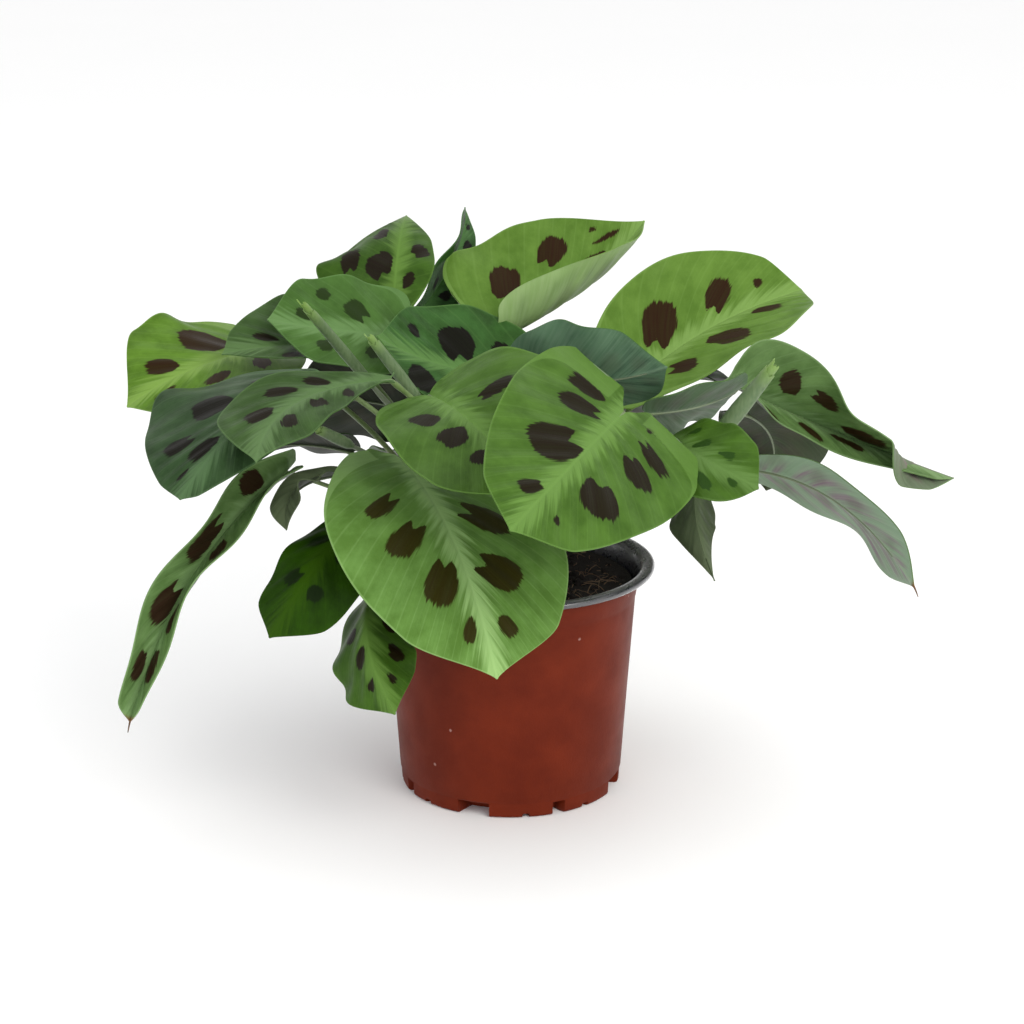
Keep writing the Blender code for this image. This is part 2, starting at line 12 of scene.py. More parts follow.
import bpy
import numpy as np
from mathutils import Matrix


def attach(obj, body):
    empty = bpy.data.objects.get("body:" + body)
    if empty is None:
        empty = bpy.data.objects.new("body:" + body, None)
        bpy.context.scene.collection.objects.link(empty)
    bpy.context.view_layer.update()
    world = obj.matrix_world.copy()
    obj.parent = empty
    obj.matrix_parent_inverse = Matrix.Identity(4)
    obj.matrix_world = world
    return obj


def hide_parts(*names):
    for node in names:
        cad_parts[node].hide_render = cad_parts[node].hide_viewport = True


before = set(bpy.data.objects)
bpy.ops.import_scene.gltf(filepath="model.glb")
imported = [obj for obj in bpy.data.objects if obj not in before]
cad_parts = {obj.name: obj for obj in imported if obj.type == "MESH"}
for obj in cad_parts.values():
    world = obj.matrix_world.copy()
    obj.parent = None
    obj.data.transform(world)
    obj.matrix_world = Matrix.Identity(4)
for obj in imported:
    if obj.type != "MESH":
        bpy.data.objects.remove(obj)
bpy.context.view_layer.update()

bl_info = {
    "name": "Potted Prayer Plant",
    "version": (1, 0, 0),
    "blender": (4, 5, 0),
    "location": "View3D > Sidebar > Prayer Plant",
    "description": "Makes a potted prayer plant with patterned leaves around a packed model",
    "category": "Add Mesh",
}

MM = 0.001
UP = np.array([0.0, 0.0, 1.0])
BODY = "root"

# Pot
RIM_RADIUS = 60.0
POT_HEIGHT = 96.7
BODY_TOP_RADIUS = 53.9
STEP_HEIGHT = 83.0
STEP_RADIUS = 52.2
BASE_RADIUS = 46.5
FOOT_RADIUS = 45.3
FOOT_TOP = 6.5
FLOOR_RADIUS = 33.0
WALL = 1.1
POT_SIDES = 360

# Which points and faces of the pot are on its inner side: limits of their height, their distance from
# its axis and their depth behind its outside
INNER_LAYER_SHOWS_ABOVE = 93.3
INNER_WALL_STARTS = 6.8
INNER_SIDE_ABOVE = 0.5
INNER_FACE_DEPTH = 0.8
FLOOR_UNPRESSED_WITHIN = 40.0
FLOOR_SHOWS_WITHIN = 44.0
FLOOR_SHOWS_BELOW = 2.0

# Drainage notches, each kind once in every quarter: first angle from -Y towards +X, width, depth
# towards the middle, height. The rows are the heights of the rings of points that are pressed in.
NOTCHES = (
    (-19.5, 13.0, 9.0, 5.8),
    (25.5, 4.6, 6.0, 5.4),
    (8.0, 3.0, 3.0, 1.4),
    (42.0, 3.0, 3.0, 1.4),
)
NOTCH_SOFTNESS = 0.9
NOTCH_ROOF_SOFTNESS = 0.5
NOTCH_ROWS = (1.2, 1.5, 1.8, 2.6, 3.6, 4.6, 5.3, 5.45, 5.6, 5.75, 5.9, 6.05, 6.25, 6.5)
DRAIN_HOLES = 6
DRAIN_HOLE_RADIUS = 3.5
DRAIN_HOLE_CIRCLE = 26.0
DRAIN_HOLE_SIDES = 32
DRAIN_CUTTER_HEIGHT = 6.0

# Peat, and the crumbs and fibres that lie loose on it
PEAT_RADIUS = 50.6
PEAT_CENTRE_RADIUS = 0.6
PEAT_MIDDLE_HEIGHT = 88.0
PEAT_RINGS = 46
PEAT_SIDES = 150
PEAT_LUMPS = 0.6
PEAT_SEED = 11
LOOSE_REACH = 50.5
CRUMB_RADIUS = 2.3
FIBRE_REACH = 49.0
FIBRE_RINGS = 7

# Stalks: heights of their end in the peat and of the place where they leave it, steps from there to the
# blade, and points of the midrib that they run on as and the share of the blade where it ends
STALK_BOTTOM = 77.0
CROWN_HEIGHT = 89.0
STALK_STEPS = 22
MIDRIB_POINTS = 14
MIDRIB_END = 0.86

# Radii of a stalk at shares of its way up: stout at its foot, with a short swelling below the blade, by
# which a prayer plant folds its leaf up at night. Under the blade it thins out and lies closer to it.
STALK_RADII = ((0, 0.1, 0.4, 0.86, 0.93, 1.0), (1.7, 1.6, 1.15, 1.05, 1.4, 1.1))
MIDRIB_RADII = (0.62, 0.22)
MIDRIB_DEPTHS = (0.95, 0.72)
NEW_STALK_RADII = ((0, 0.1, 0.5, 0.9, 1.0), (1.7, 1.6, 1.15, 1.2, 0.5))

# Thread at a dried tip: its start as a share of the blade's length, its radii and how much it sags, and
# the share of the blade's length over which the brown of the tip fades in
THREAD_START = 0.985
THREAD_RADII = (0.5, 0.18)
THREAD_SAG = 0.3
DRY_FADE = 0.02

# Outline of a blade: its foot's width and length, how far its lobes reach, its least half width
FOOT_WIDTH_SHARE = 0.22
FOOT_LENGTH_SHARE = 0.05
LOBE_SHARE = 0.10
LEAST_HALF_WIDTH = 0.25

# Surface of a blade: waves along its edge, the run of its veins, the size of its grid cells, the width
# of the groove over the midrib, and where its quilting and its slight unevenness fade out
EDGE_WAVES = 2.2
WAVE_SHIFT = 0.37
VEIN_START = -0.15
VEIN_BEND = 0.35
VEIN_FAN = 3.1
CELL = 1.1
SMALLEST_GRID = 24
GROOVE_WIDTH = 1.1
QUILT_FADE = 6.0
UNEVEN_HEIGHT = 0.35
UNEVEN_ALONG = 9.0
UNEVEN_ACROSS = 7.0
UNEVEN_FADE = 8.0

# Blotches: greatest distance that is told apart, free strip beside the midrib, height from which a
# blotch starts to look square
FAR_FROM_BLOTCH = 30.0
BLOTCH_FREE_STRIP = 0.6
SQUARE_FROM_HEIGHT = 4.0

# Rolled leaves: grid cells round and along, turns, distance from turn to turn, thickness, least radius,
# slant of the open end as a share of the length, and the roll's radius along its length
ROLL_CELLS_ROUND = 56
ROLL_CELLS_ALONG = 30
ROLL_TURNS = 1.7
ROLL_PITCH = 0.55
ROLL_THICKNESS = 0.38
ROLL_LEAST_RADIUS = 0.35
ROLL_SLANT = 0.16
ROLL_SWELL = ((0, 0.12, 0.4, 0.8, 1.0), (0.42, 0.85, 1.0, 0.95, 0.9))

# Lights: name; place, aim, width and height in metres; colour; the setting that holds its power
LIGHTS = (
    ("key light", (0.85, -1.25, 1.20), (0, 0, 0.13), (1.0, 1.0), "#fffdf8", "key_power"),
    ("strip light", (-0.55, -1.35, 0.60), (0, 0, 0.09), (1.3, 0.12), "#e9eeff", "strip_power"),
    ("top light", (0.1, 0.5, 1.7), (0, 0, 0.15), (1.4, 1.4), "#ffffff", "top_power"),
)

# Camera: place in metres, tilt in degrees from straight down, lens and sensor in millimetres
CAMERA_PLACE = (0.0006, -0.990, 0.420)
CAMERA_TILT = 73
CAMERA_LENS = 87.89
CAMERA_SENSOR = 36.0


def unit(vector):
    return vector / np.linalg.norm(vector)


def smooth_step(share):
    share = np.clip(share, 0, 1)
    return share * share * (3 - 2 * share)


def bezier(controls, t):
    """Points of a cubic curve at parameters t."""
    t = np.asarray(t)[:, None]
    a, b, c, d = controls
    return (1 - t) ** 3 * a + 3 * (1 - t) ** 2 * t * b + 3 * (1 - t) * t ** 2 * c + t ** 3 * d


def bezier_direction(controls, t):
    """Unit directions of a cubic curve at parameters t."""
    t = np.asarray(t)[:, None]
    a, b, c, d = controls
    slope = (1 - t) ** 2 * (b - a) + 2 * (1 - t) * t * (c - b) + t ** 2 * (d - c)
    return slope / np.linalg.norm(slope, axis=1)[:, None]


@dataclass
class Leaf:
    """One leaf, grown as one piece with its stalk.

    The stalk leaves the peat at the root, leans over and meets the blade at the base of the midrib; neck
    and rise say how it bends there. The arch lifts the middle of the midrib, the sway pushes it to the
    right, the skew moves the arch towards the tip and the roll lowers the right half. Each half rises by
    its fold at the midrib and bends up by its curl on the way to its edge. The outline has its widest
    place, its fullness, the lobes beside the stalk, the share of the length that tapers to the tip, and
    how much wider the right half is. Pairs of angles or lobes are for the left and the right half. A
    flap (start, end, angle) folds the left half over near the tip.
    """
    name: str
    root: tuple
    base: tuple
    tip: tuple
    width: float
    arch: float = 8.0
    sway: float = 0.0
    skew: float = 0.0
    roll: float = 0.0
    fold: tuple = (8.0, 8.0)
    fold_tip: tuple = None
    curl: tuple = (10.0, 10.0)
    curl_tip: tuple = None
    widest: float = 0.48
    fullness: float = 0.92
    lobe: tuple = (0.05, 0.05)
    taper: float = 0.2
    uneven: float = 0.0
    wave: float = 1.5
    flap: tuple = None
    lean: tuple = (0.0, 0.0)
    neck: float = 0.12
    rise: float = 0.10

    def __post_init__(self):
        self.base = np.array(self.base, float)
        self.tip = np.array(self.tip, float)
        self.fold_tip = self.fold_tip or self.fold
        self.curl_tip = self.curl_tip or self.curl
        chord = self.tip - self.base
        along = chord / np.linalg.norm(chord)
        level_up = unit(UP - (UP @ along) * along)
        level_side = np.cross(along, level_up)
        roll = math.radians(self.roll)
        self.up = level_up * math.cos(roll) + level_side * math.sin(roll)
        side = np.cross(along, self.up)
        # The middle of a cubic curve moves 3/4 as far as its two inner control points
        push = side * self.sway * 4 / 3
        lift = self.up * self.arch * 4 / 3
        self.midrib = (self.base,
                       self.base + chord / 3 + lift * (1 - self.skew) + push,
                       self.base + chord * 2 / 3 + lift * (1 + self.skew) + push,
                       self.tip)
        self.samples = np.linspace(0, 1, 201)
        points = bezier(self.midrib, self.samples)
        travelled = np.cumsum(np.linalg.norm(np.diff(points, axis=0), axis=1))
        self.length = travelled[-1]
        self.shares = np.concatenate([[0.0], travelled]) / self.length

    def frame(self, share):
        """Midrib point, direction, upward normal and right-hand side at shares of its length."""
        inside = np.clip(share, 0, 1)
        t = np.interp(inside, self.shares, self.samples)
        direction = bezier_direction(self.midrib, t)
        point = bezier(self.midrib, t) + direction * ((share - inside) * self.length)[:, None]
        normal = self.up - (direction @ self.up)[:, None] * direction
        normal /= np.linalg.norm(normal, axis=1)[:, None]
        side = np.cross(direction, normal)
        return point, direction, normal, side

    def half_width(self, share, hand):
        """Half the blade's flat width on one hand: an oval that closes to a point over its taper."""
        # The oval would end just past the tip, where the taper has closed it already
        power = math.log(0.5) / math.log(self.widest)
        oval = np.clip(share * 0.97, 0, 1) ** power
        body = np.sqrt(np.clip(1 - (2 * oval - 1) ** 2, 0, 1)) ** self.fullness
        close = 1 - (1 - np.clip((1 - share) / self.taper, 0, 1)) ** 2
        foot = FOOT_WIDTH_SHARE * (1 - np.clip(share / FOOT_LENGTH_SHARE, 0, 1))
        return np.maximum(body * close, foot) * self.width / 2 * (1 + hand * self.uneven)

    def flat(self, column, row):
        """Flat (across, along) of places given as shares: column -1 to 1, row 0 to 1."""
        # Rows lie closer together at both ends, and the lobes' outer corners are rounded off
        share = (1 - np.cos(row * math.pi)) / 2 * 0.5 + row * 0.5
        half = np.maximum(self.half_width(share, np.sign(column)), LEAST_HALF_WIDTH)
        lobe = np.where(column < 0, self.lobe[0], self.lobe[1]) * np.exp(-share / LOBE_SHARE)
        corner = 1 - 0.45 * column ** 4 * np.clip(1 - share / 0.03, 0, 1)
        return column * half, (share - lobe * np.abs(column) ** 1.4 * corner) * self.length

    def place(self, across, along):
        """Bends the flat blade: each half folds at the midrib, curls as an arc and waves at its edge."""
        share = along / self.length
        point, _, normal, side = self.frame(share)
        inside = np.clip(share, 0, 1)
        reach = np.abs(across)
        full_half = self.width / 2
        placed = np.empty((len(across), 3))
        for hand, chosen in ((0, across < 0), (1, across >= 0)):
            s = inside[chosen]
            r = reach[chosen]
            fold = np.radians(self.fold[hand] + (self.fold_tip[hand] - self.fold[hand]) * s)
            if self.flap and hand == 0:
                start, end, angle = self.flap
                fold = fold + np.radians(angle) * smooth_step((s - start) / (end - start))
            bend = np.radians(self.curl[hand] + (self.curl_tip[hand] - self.curl[hand]) * s) / full_half
            bend = np.where(np.abs(bend) < 1e-6, 1e-6, bend)
            end = fold + bend * r
            out = (np.sin(end) - np.sin(fold)) / bend
            lift = (np.cos(fold) - np.cos(end)) / bend
            ripple = np.sin(2 * math.pi * (EDGE_WAVES * s + WAVE_SHIFT * hand))
            ripple = self.wave * (r / full_half) ** 2 * ripple
            out = (out - ripple * np.sin(end)) * (1 if hand else -1)
            lift = lift + ripple * np.cos(end)
            placed[chosen] = point[chosen] + side[chosen] * out[:, None] + normal[chosen] * lift[:, None]
        return placed

    def stalk_path(self):
        """Up out of the peat, over to the blade from below, then along under the midrib."""
        crown = np.array([*self.root, CROWN_HEIGHT])
        shares = np.linspace(0, MIDRIB_END, MIDRIB_POINTS)
        point, direction, normal, _ = self.frame(shares)
        under = point - normal * np.linspace(*MIDRIB_DEPTHS, MIDRIB_POINTS)[:, None]
        reach = np.linalg.norm(self.base - crown)
        rise = self.base[2] - crown[2]
        controls = (crown,
                    crown + np.array([*self.lean, 0.65 * rise]),
                    under[0] - direction[0] * self.neck * reach - UP * self.rise * reach,
                    under[0])
        curve = bezier(controls, np.linspace(0, 1, STALK_STEPS + 1))
        foot = np.array([[*self.root, STALK_BOTTOM]])
        return np.concatenate([foot, curve, under[1:]])


@dataclass
class RolledLeaf:
    """A new leaf that is still rolled up: a slender stalk that widens into a straight roll."""
    name: str
    root: tuple
    foot: tuple
    tip: tuple
    foot_radius: float
    tip_radius: float

    def stalk_path(self):
        """Up out of the peat and a little way into the roll."""
        crown = np.array([*self.root, CROWN_HEIGHT])
        foot = np.array(self.foot, float)
        direction = unit(np.array(self.tip, float) - foot)
        reach = np.linalg.norm(foot - crown)
        # It rises straight from the peat and meets the roll in the roll's own direction
        controls = (crown, crown + UP * reach * 0.45, foot - direction * reach * 0.3, foot)
        curve = bezier(controls, np.linspace(0, 1, STALK_STEPS + 1))
        start = np.array([[*self.root, STALK_BOTTOM]])
        return np.concatenate([start, curve, [foot + direction * 6]])


LEAVES = (
    Leaf("leaf_front_large", root=(-20, -5), base=(-45, -16, 146), tip=(-5, -109, 85), width=96,
         arch=13, roll=-3, fold=(-4, -4), curl=(-8, -8), widest=0.43, fullness=1.26, lobe=(0.04, 0.15),
         taper=0.17, uneven=-0.02, wave=1),
    Leaf("leaf_front_right_large", root=(6, -10), base=(44, -56, 175), tip=(0, -152, 157), width=81,
         arch=3, roll=-36, fold=(0, 0), curl=(-10, 2), widest=0.22, fullness=1, lobe=(0.19, 0.23),
         taper=0.14, uneven=-0.02),
    Leaf("leaf_front_centre", root=(-12, -3), base=(-33, -14, 171), tip=(8, -86, 151), width=76,
         lean=(-4, 6), arch=9, sway=-1, roll=27, fold=(8, 14), curl=(-4, 10), widest=0.53, fullness=0.6,
         lobe=(0.08, 0.1), taper=0.22, uneven=-0.08),
    Leaf("leaf_middle_centre", root=(-4, 12), base=(13, 39, 165), tip=(-55, 13, 189), width=63, arch=-8,
         sway=1, roll=-37, fold=(4, 4), curl=(0, 0), widest=0.34, fullness=1.22, lobe=(0.04, 0.01),
         taper=0.28, uneven=0.1),
    Leaf("leaf_right_upper", root=(6, 13), base=(46, 35, 158), tip=(128, 90, 192), width=78, arch=3,
         sway=-5, roll=19, fold=(18, 18), fullness=1.16, lobe=(0.12, 0.12), taper=0.08, uneven=0.01),
    Leaf("leaf_back_half_rolled", root=(3, 18), base=(-8, 76, 173), tip=(60, 121, 217), width=85,
         arch=-6, sway=1, roll=-4, fold=(34, 3), fold_tip=(34, 5), curl=(0, 142), curl_tip=(0, 71),
         widest=0.23, fullness=0.84, lobe=(0.03, 0.05), taper=0.3, uneven=-0.22),
    Leaf("leaf_back_left_upright", root=(-19, 18), base=(-51, 68, 186), tip=(-47, 128, 218), width=59,
         arch=11, sway=1, roll=-3, fold=(-19, -32), curl=(-6, -10), widest=0.47, fullness=1.39,
         lobe=(0.05, 0.06), taper=0.26, uneven=-0.4),
    Leaf("leaf_middle_left", root=(-12, 12), base=(-41, 55, 180), tip=(-101, 26, 193), width=53, arch=0,
         sway=-2, roll=-37, fold=(4, 4), curl=(0, 0), widest=0.36, fullness=0.63, lobe=(0.05, 0.09),
         taper=0.29, uneven=0.11),
    Leaf("leaf_left_behind", root=(-24, 14), base=(-66, 64, 168), tip=(-119, 14, 181), width=52, arch=7,
         sway=-3, roll=-21, fold=(8, 12), curl=(0, 0), widest=0.24, fullness=1.55, taper=0.12,
         uneven=0.23),
    Leaf("leaf_far_left", root=(-29, 12), base=(-107, 70, 172), tip=(-160, 20, 157), width=72, arch=10,
         skew=0.3, sway=-7, roll=-17, fold=(4, 4), curl=(0, 0), widest=0.5, fullness=0.6,
         lobe=(0.05, 0.18), taper=0.32, uneven=0.07),
    Leaf("leaf_left_broad", root=(-21, 2), base=(-76, -6, 178), tip=(-127, -71, 144), width=83, arch=9,
         roll=-3, fold=(-8, -8), curl=(-4, -4), widest=0.39, fullness=1.76, lobe=(0.05, 0.1),
         taper=0.05, uneven=0.4),
    Leaf("leaf_left_centre", root=(-16, 8), base=(-48, -12, 177), tip=(-96, -82, 162), width=44, arch=3,
         sway=15, roll=-6, fold=(3, 3), curl=(0, 0), widest=0.55, fullness=1.8, lobe=(0, 0.05),
         taper=0.26, uneven=0.07),
    Leaf("leaf_left_drooping", root=(-34, 3), base=(-92, 3, 134), tip=(-150, -72, 53), width=32,
         arch=10, sway=7, roll=-26, fold=(50, 76), fold_tip=(53, 54), widest=0.32, fullness=0.72,
         lobe=(0.04, 0.06), taper=0.05, uneven=0.05, wave=2.5),
    Leaf("leaf_left_small_curled", root=(-28, -7), base=(-69, -18, 139), tip=(-89, -43, 123), width=19,
         arch=6, sway=7, roll=18, fold=(21, 25), curl=(0, 0), widest=0.45, fullness=0.9, taper=0.31,
         uneven=-0.19),
    Leaf("leaf_front_left_dark", root=(-23, -9), base=(-61, -35, 128), tip=(-93, -83, 92), width=44,
         arch=6, sway=-3, roll=-3, fold=(-10, -10), curl=(-5, -5), widest=0.46, taper=0.18,
         uneven=-0.08),
    Leaf("leaf_front_left_low", root=(-17, -16), base=(-55, -62, 102), tip=(-44, -100, 67), width=45,
         neck=0.25, rise=-0.05, arch=9, sway=4, roll=19, fold=(-30, -45), curl=(-10, -10),
         fullness=0.78, lobe=(0.05, 0.08), taper=0.27, uneven=0.12),
    Leaf("leaf_centre_turned_over", root=(2, 5), base=(4, 2, 174), tip=(62, -28, 186), width=50,
         arch=-2, sway=-3, roll=-56, curl=(0, 0), widest=0.39, fullness=1.12, lobe=(0.05, 0.09),
         taper=0.18, uneven=0.2),
    Leaf("leaf_right_turned_over", root=(9, 1), base=(54, -23, 166), tip=(96, -2, 173), width=37,
         arch=-5, sway=3, roll=-46, fold=(5, 5), curl=(0, 0), widest=0.43, fullness=0.85, taper=0.17,
         uneven=-0.23),
    Leaf("leaf_far_right", root=(14, 8), base=(89, 6, 172), tip=(186, 17, 127), width=45, arch=-18,
         sway=-27, roll=22, fold=(76, 12), fold_tip=(158, -14), curl=(0, 0), widest=0.25, fullness=1.11,
         lobe=(0, 0.05), taper=0.05, uneven=-0.25, flap=(0.79, 0.87, 62)),
    Leaf("leaf_right_drooping", root=(18, 3), base=(85, 5, 135), tip=(157, -70, 108), width=37, arch=11,
         sway=9, roll=-57, fold=(5, 14), curl=(0, 0), widest=0.65, fullness=1, lobe=(0.07, 0.06),
         taper=0.17, uneven=-0.22),
    Leaf("leaf_right_young", root=(12, -5), base=(64, -25, 156), tip=(96, -63, 146), width=37, sway=5,
         roll=30, fold=(5, 5), curl=(0, 0), widest=0.52, fullness=0.6, lobe=(0.04, 0.05), taper=0.21,
         uneven=-0.02),
    Leaf("leaf_right_behind", root=(18, 12), base=(99, 38, 150), tip=(113, 70, 106), width=50, arch=6,
         sway=7, roll=-8, fold=(20, 20), curl=(0, 0)),
    Leaf("leaf_right_narrow", root=(17, -6), base=(77, -10, 134), tip=(82, -38, 100), width=32, arch=13,
         sway=3, roll=18, fold=(-61, -49), curl=(0, 0), widest=0.3, fullness=1.53, lobe=(0.06, 0.05),
         taper=0.48, uneven=0.07, wave=0.5),
    Leaf("leaf_back_folded", root=(-14, 24), base=(-44, 111, 174), tip=(-21, 149, 218), width=31,
         arch=9, sway=-2, roll=84, fold=(29, 12), curl=(0, 0), widest=0.31, fullness=1.45,
         uneven=-0.09),
    Leaf("leaf_right_under", root=(10, 18), base=(62, 62, 156), tip=(99, 70, 153), width=36, arch=4),
    Leaf("leaf_left_under", root=(-34, 8), base=(-67, 30, 135), tip=(-108, 12, 141), width=44, arch=3,
         roll=25, fold=(4, 4), curl=(0, 0), curl_tip=(10, 10)),
    Leaf("leaf_rear_left", root=(-6, 27), base=(-27, 74, 120), tip=(-55, 128, 100), width=44, arch=4),
    Leaf("leaf_rear_right", root=(8, 25), base=(24, 52, 148), tip=(40, 122, 115), width=64, arch=10),
    Leaf("leaf_rear_far_right", root=(14, 24), base=(50, 48, 132), tip=(82, 106, 104), width=56,
         arch=10),
    Leaf("leaf_rear_far_left", root=(-21, 24), base=(-43, 84, 139), tip=(-97, 83, 145), width=60,
         lean=(-8, 4), arch=3, roll=56, fold=(4, 4), curl=(0, 0), curl_tip=(10, 10), widest=0.42),
    Leaf("leaf_rear_upper", root=(3, 23), base=(12, 66, 163), tip=(26, 124, 157), width=50, arch=6),
    Leaf("leaf_rear_low_right", root=(3, 32), base=(10, 45, 130), tip=(15, 110, 85), width=58),
    Leaf("leaf_rear_low_left", root=(-10, 32), base=(-30, 54, 104), tip=(-46, 106, 74), width=46),
)

ROLLED_LEAVES = (
    RolledLeaf("new_leaf_left_tall", root=(-17, 13), foot=(-57, 18, 166), tip=(-84, -14, 210),
               foot_radius=2.6, tip_radius=2.0),
    RolledLeaf("new_leaf_left_middle", root=(-8, 5), foot=(-37, 4, 163), tip=(-58, -4, 194),
               foot_radius=2.8, tip_radius=2.2),
    RolledLeaf("new_leaf_left_short", root=(-30, -2), foot=(-65, 2, 145), tip=(-80, -6, 155),
               foot_radius=2.6, tip_radius=2.2),
    RolledLeaf("new_leaf_right", root=(14, -1), foot=(82, -20, 154), tip=(105, -32, 189),
               foot_radius=4.2, tip_radius=2.8),
)

# Blotches that a leaf shows. The middle is given as a share of the half width (minus for the left half)
# and a share of the length. Then come the length outwards and the height across it in millimetres, and
# the angle in degrees from straight outwards to the tip; without one, a blotch follows its vein.
BLOTCHES = {
    "leaf_front_large": (
        (0.43, 0.29, 18, 9, 35), (0.37, 0.46, 22, 12, 45), (0.23, 0.65, 22, 13, 65),
        (0.12, 0.83, 12, 5, 70), (-0.36, 0.40, 23, 15, 30), (-0.28, 0.63, 20, 17, 35),
        (-0.20, 0.83, 10, 8, 65)),
    "leaf_front_right_large": (
        (0.40, 0.04, 17, 10, 10), (0.33, 0.18, 19, 12, 25), (0.25, 0.47, 25, 19, 60),
        (0.14, 0.76, 12, 7, 60), (-0.24, 0.81, 5, 3, 65), (-0.39, 0.57, 20, 17, 65),
        (-0.48, 0.28, 18, 12, 40), (-0.50, 0.14, 19, 9, 30), (-0.30, 0.00, 4, 4, 5)),
    "leaf_front_centre": (
        (-0.43, 0.39, 16, 8, 10), (0.37, 0.34, 12, 13, 10), (0.26, 0.54, 14, 12, 20),
        (0.20, 0.72, 9, 8, 40), (-0.36, 0.62, 13, 10, 45)),
    "leaf_middle_centre": (
        (0.40, 0.46, 18, 17, 10), (0.42, 0.72, 8, 6, 30), (-0.40, 0.71, 15, 15, 10),
        (-0.42, 0.42, 14, 10, 15), (-0.36, 0.18, 12, 8, 10), (0.36, 0.20, 13, 9, 10)),
    "leaf_right_upper": (
        (-0.34, 0.36, 25, 15, 50), (-0.30, 0.65, 20, 10, 50), (-0.26, 0.84, 6, 4, 40),
        (0.20, 0.77, 14, 9, 60), (0.42, 0.50, 20, 18, 60), (-0.36, 0.12, 15, 8, 30),
        (0.40, 0.24, 14, 10, 40)),
    "leaf_back_half_rolled": (
        (-0.57, 0.26, 21, 15, 45), (-0.55, 0.58, 19, 13, 70), (-0.41, 0.82, 4, 3, 90),
        (-0.23, 0.82, 15, 3, 110), (-0.15, 0.70, 12, 4, 115), (0.35, 0.35, 14, 9), (0.35, 0.58, 14, 9)),
    "leaf_back_left_upright": (
        (-0.30, 0.36, 17, 14, 70), (-0.82, 0.49, 17, 10, 90), (0.20, 0.24, 11, 5, 70),
        (0.34, 0.52, 12, 8, 60), (-0.34, 0.70, 12, 8, 80)),
    "leaf_middle_left": (
        (0.72, 0.58, 7, 7, 50), (0.40, 0.37, 12, 11), (0.23, 0.75, 8, 6), (-0.41, 0.65, 8, 7),
        (-0.42, 0.34, 9, 7)),
    "leaf_left_behind": (
        (0.20, 0.70, 12, 5, 70), (-0.40, 0.65, 11, 6, 65), (0.40, 0.36, 10, 7), (-0.36, 0.30, 10, 7)),
    "leaf_far_left": (
        (0.39, 0.34, 26, 19, 70), (0.24, 0.71, 15, 10, 60), (-0.37, 0.54, 14, 6, 75),
        (-0.18, 0.80, 11, 4, 80), (-0.36, 0.26, 12, 8, 50)),
    "leaf_left_broad": (
        (0.55, 0.46, 18, 17, 45), (0.50, 0.73, 14, 10, 60), (0.14, 0.73, 16, 8, 70),
        (0.16, 0.88, 7, 3, 80), (-0.40, 0.50, 15, 10), (0.40, 0.18, 13, 9), (-0.40, 0.24, 13, 9)),
    "leaf_left_centre": (
        (0.46, 0.46, 13, 6, 55), (0.34, 0.30, 11, 6, 40), (-0.34, 0.44, 10, 8, 40),
        (0.32, 0.65, 14, 8, 70), (-0.28, 0.66, 12, 7, 70), (-0.38, 0.26, 9, 6, 30)),
    "leaf_left_drooping": (
        (0.54, 0.15, 14, 11, 65), (0.51, 0.39, 23, 12, 85), (0.34, 0.62, 20, 10, 80),
        (0.34, 0.83, 13, 7, 85), (-0.34, 0.66, 14, 6, 80), (-0.28, 0.82, 15, 7, 85),
        (-0.50, 0.40, 12, 8, 70)),
    "leaf_left_small_curled": (),
    "leaf_right_narrow": (),
    "leaf_front_left_dark": (
        (0.30, 0.30, 10, 8), (-0.35, 0.36, 10, 8), (0.30, 0.60, 9, 8), (-0.30, 0.66, 8, 7)),
    "leaf_front_left_low": (
        (0.24, 0.53, 10, 6, 55), (-0.48, 0.55, 11, 6, 75), (0.20, 0.75, 6, 4, 45),
        (0.42, 0.30, 8, 6, 40), (-0.42, 0.28, 8, 5, 50), (-0.25, 0.76, 6, 3, 70)),
    "leaf_far_right": (
        (-0.58, 0.28, 17, 10, -60), (-0.74, 0.44, 18, 8, 85), (-0.36, 0.66, 26, 11, 85),
        (0.20, 0.61, 18, 4, 85), (0.40, 0.46, 16, 6, 70), (0.45, 0.20, 12, 8)),
    "leaf_right_young": (
        (-0.26, 0.42, 9, 5), (-0.33, 0.66, 8, 4, 80), (0.50, 0.66, 10, 5), (0.42, 0.38, 8, 5),
        (-0.42, 0.22, 7, 4), (0.20, 0.82, 5, 3)),
}

# Pairs of blotches on a leaf whose upper side isn't shown: across, along, and length as a share of the
# half width; then their height as a share of their length
USUAL_BLOTCHES = ((0.42, 0.08, 0.36), (0.40, 0.27, 0.46), (0.36, 0.46, 0.50), (0.30, 0.65, 0.46),
                  (0.18, 0.83, 0.26))
USUAL_BLOTCH_HEIGHT = 0.68

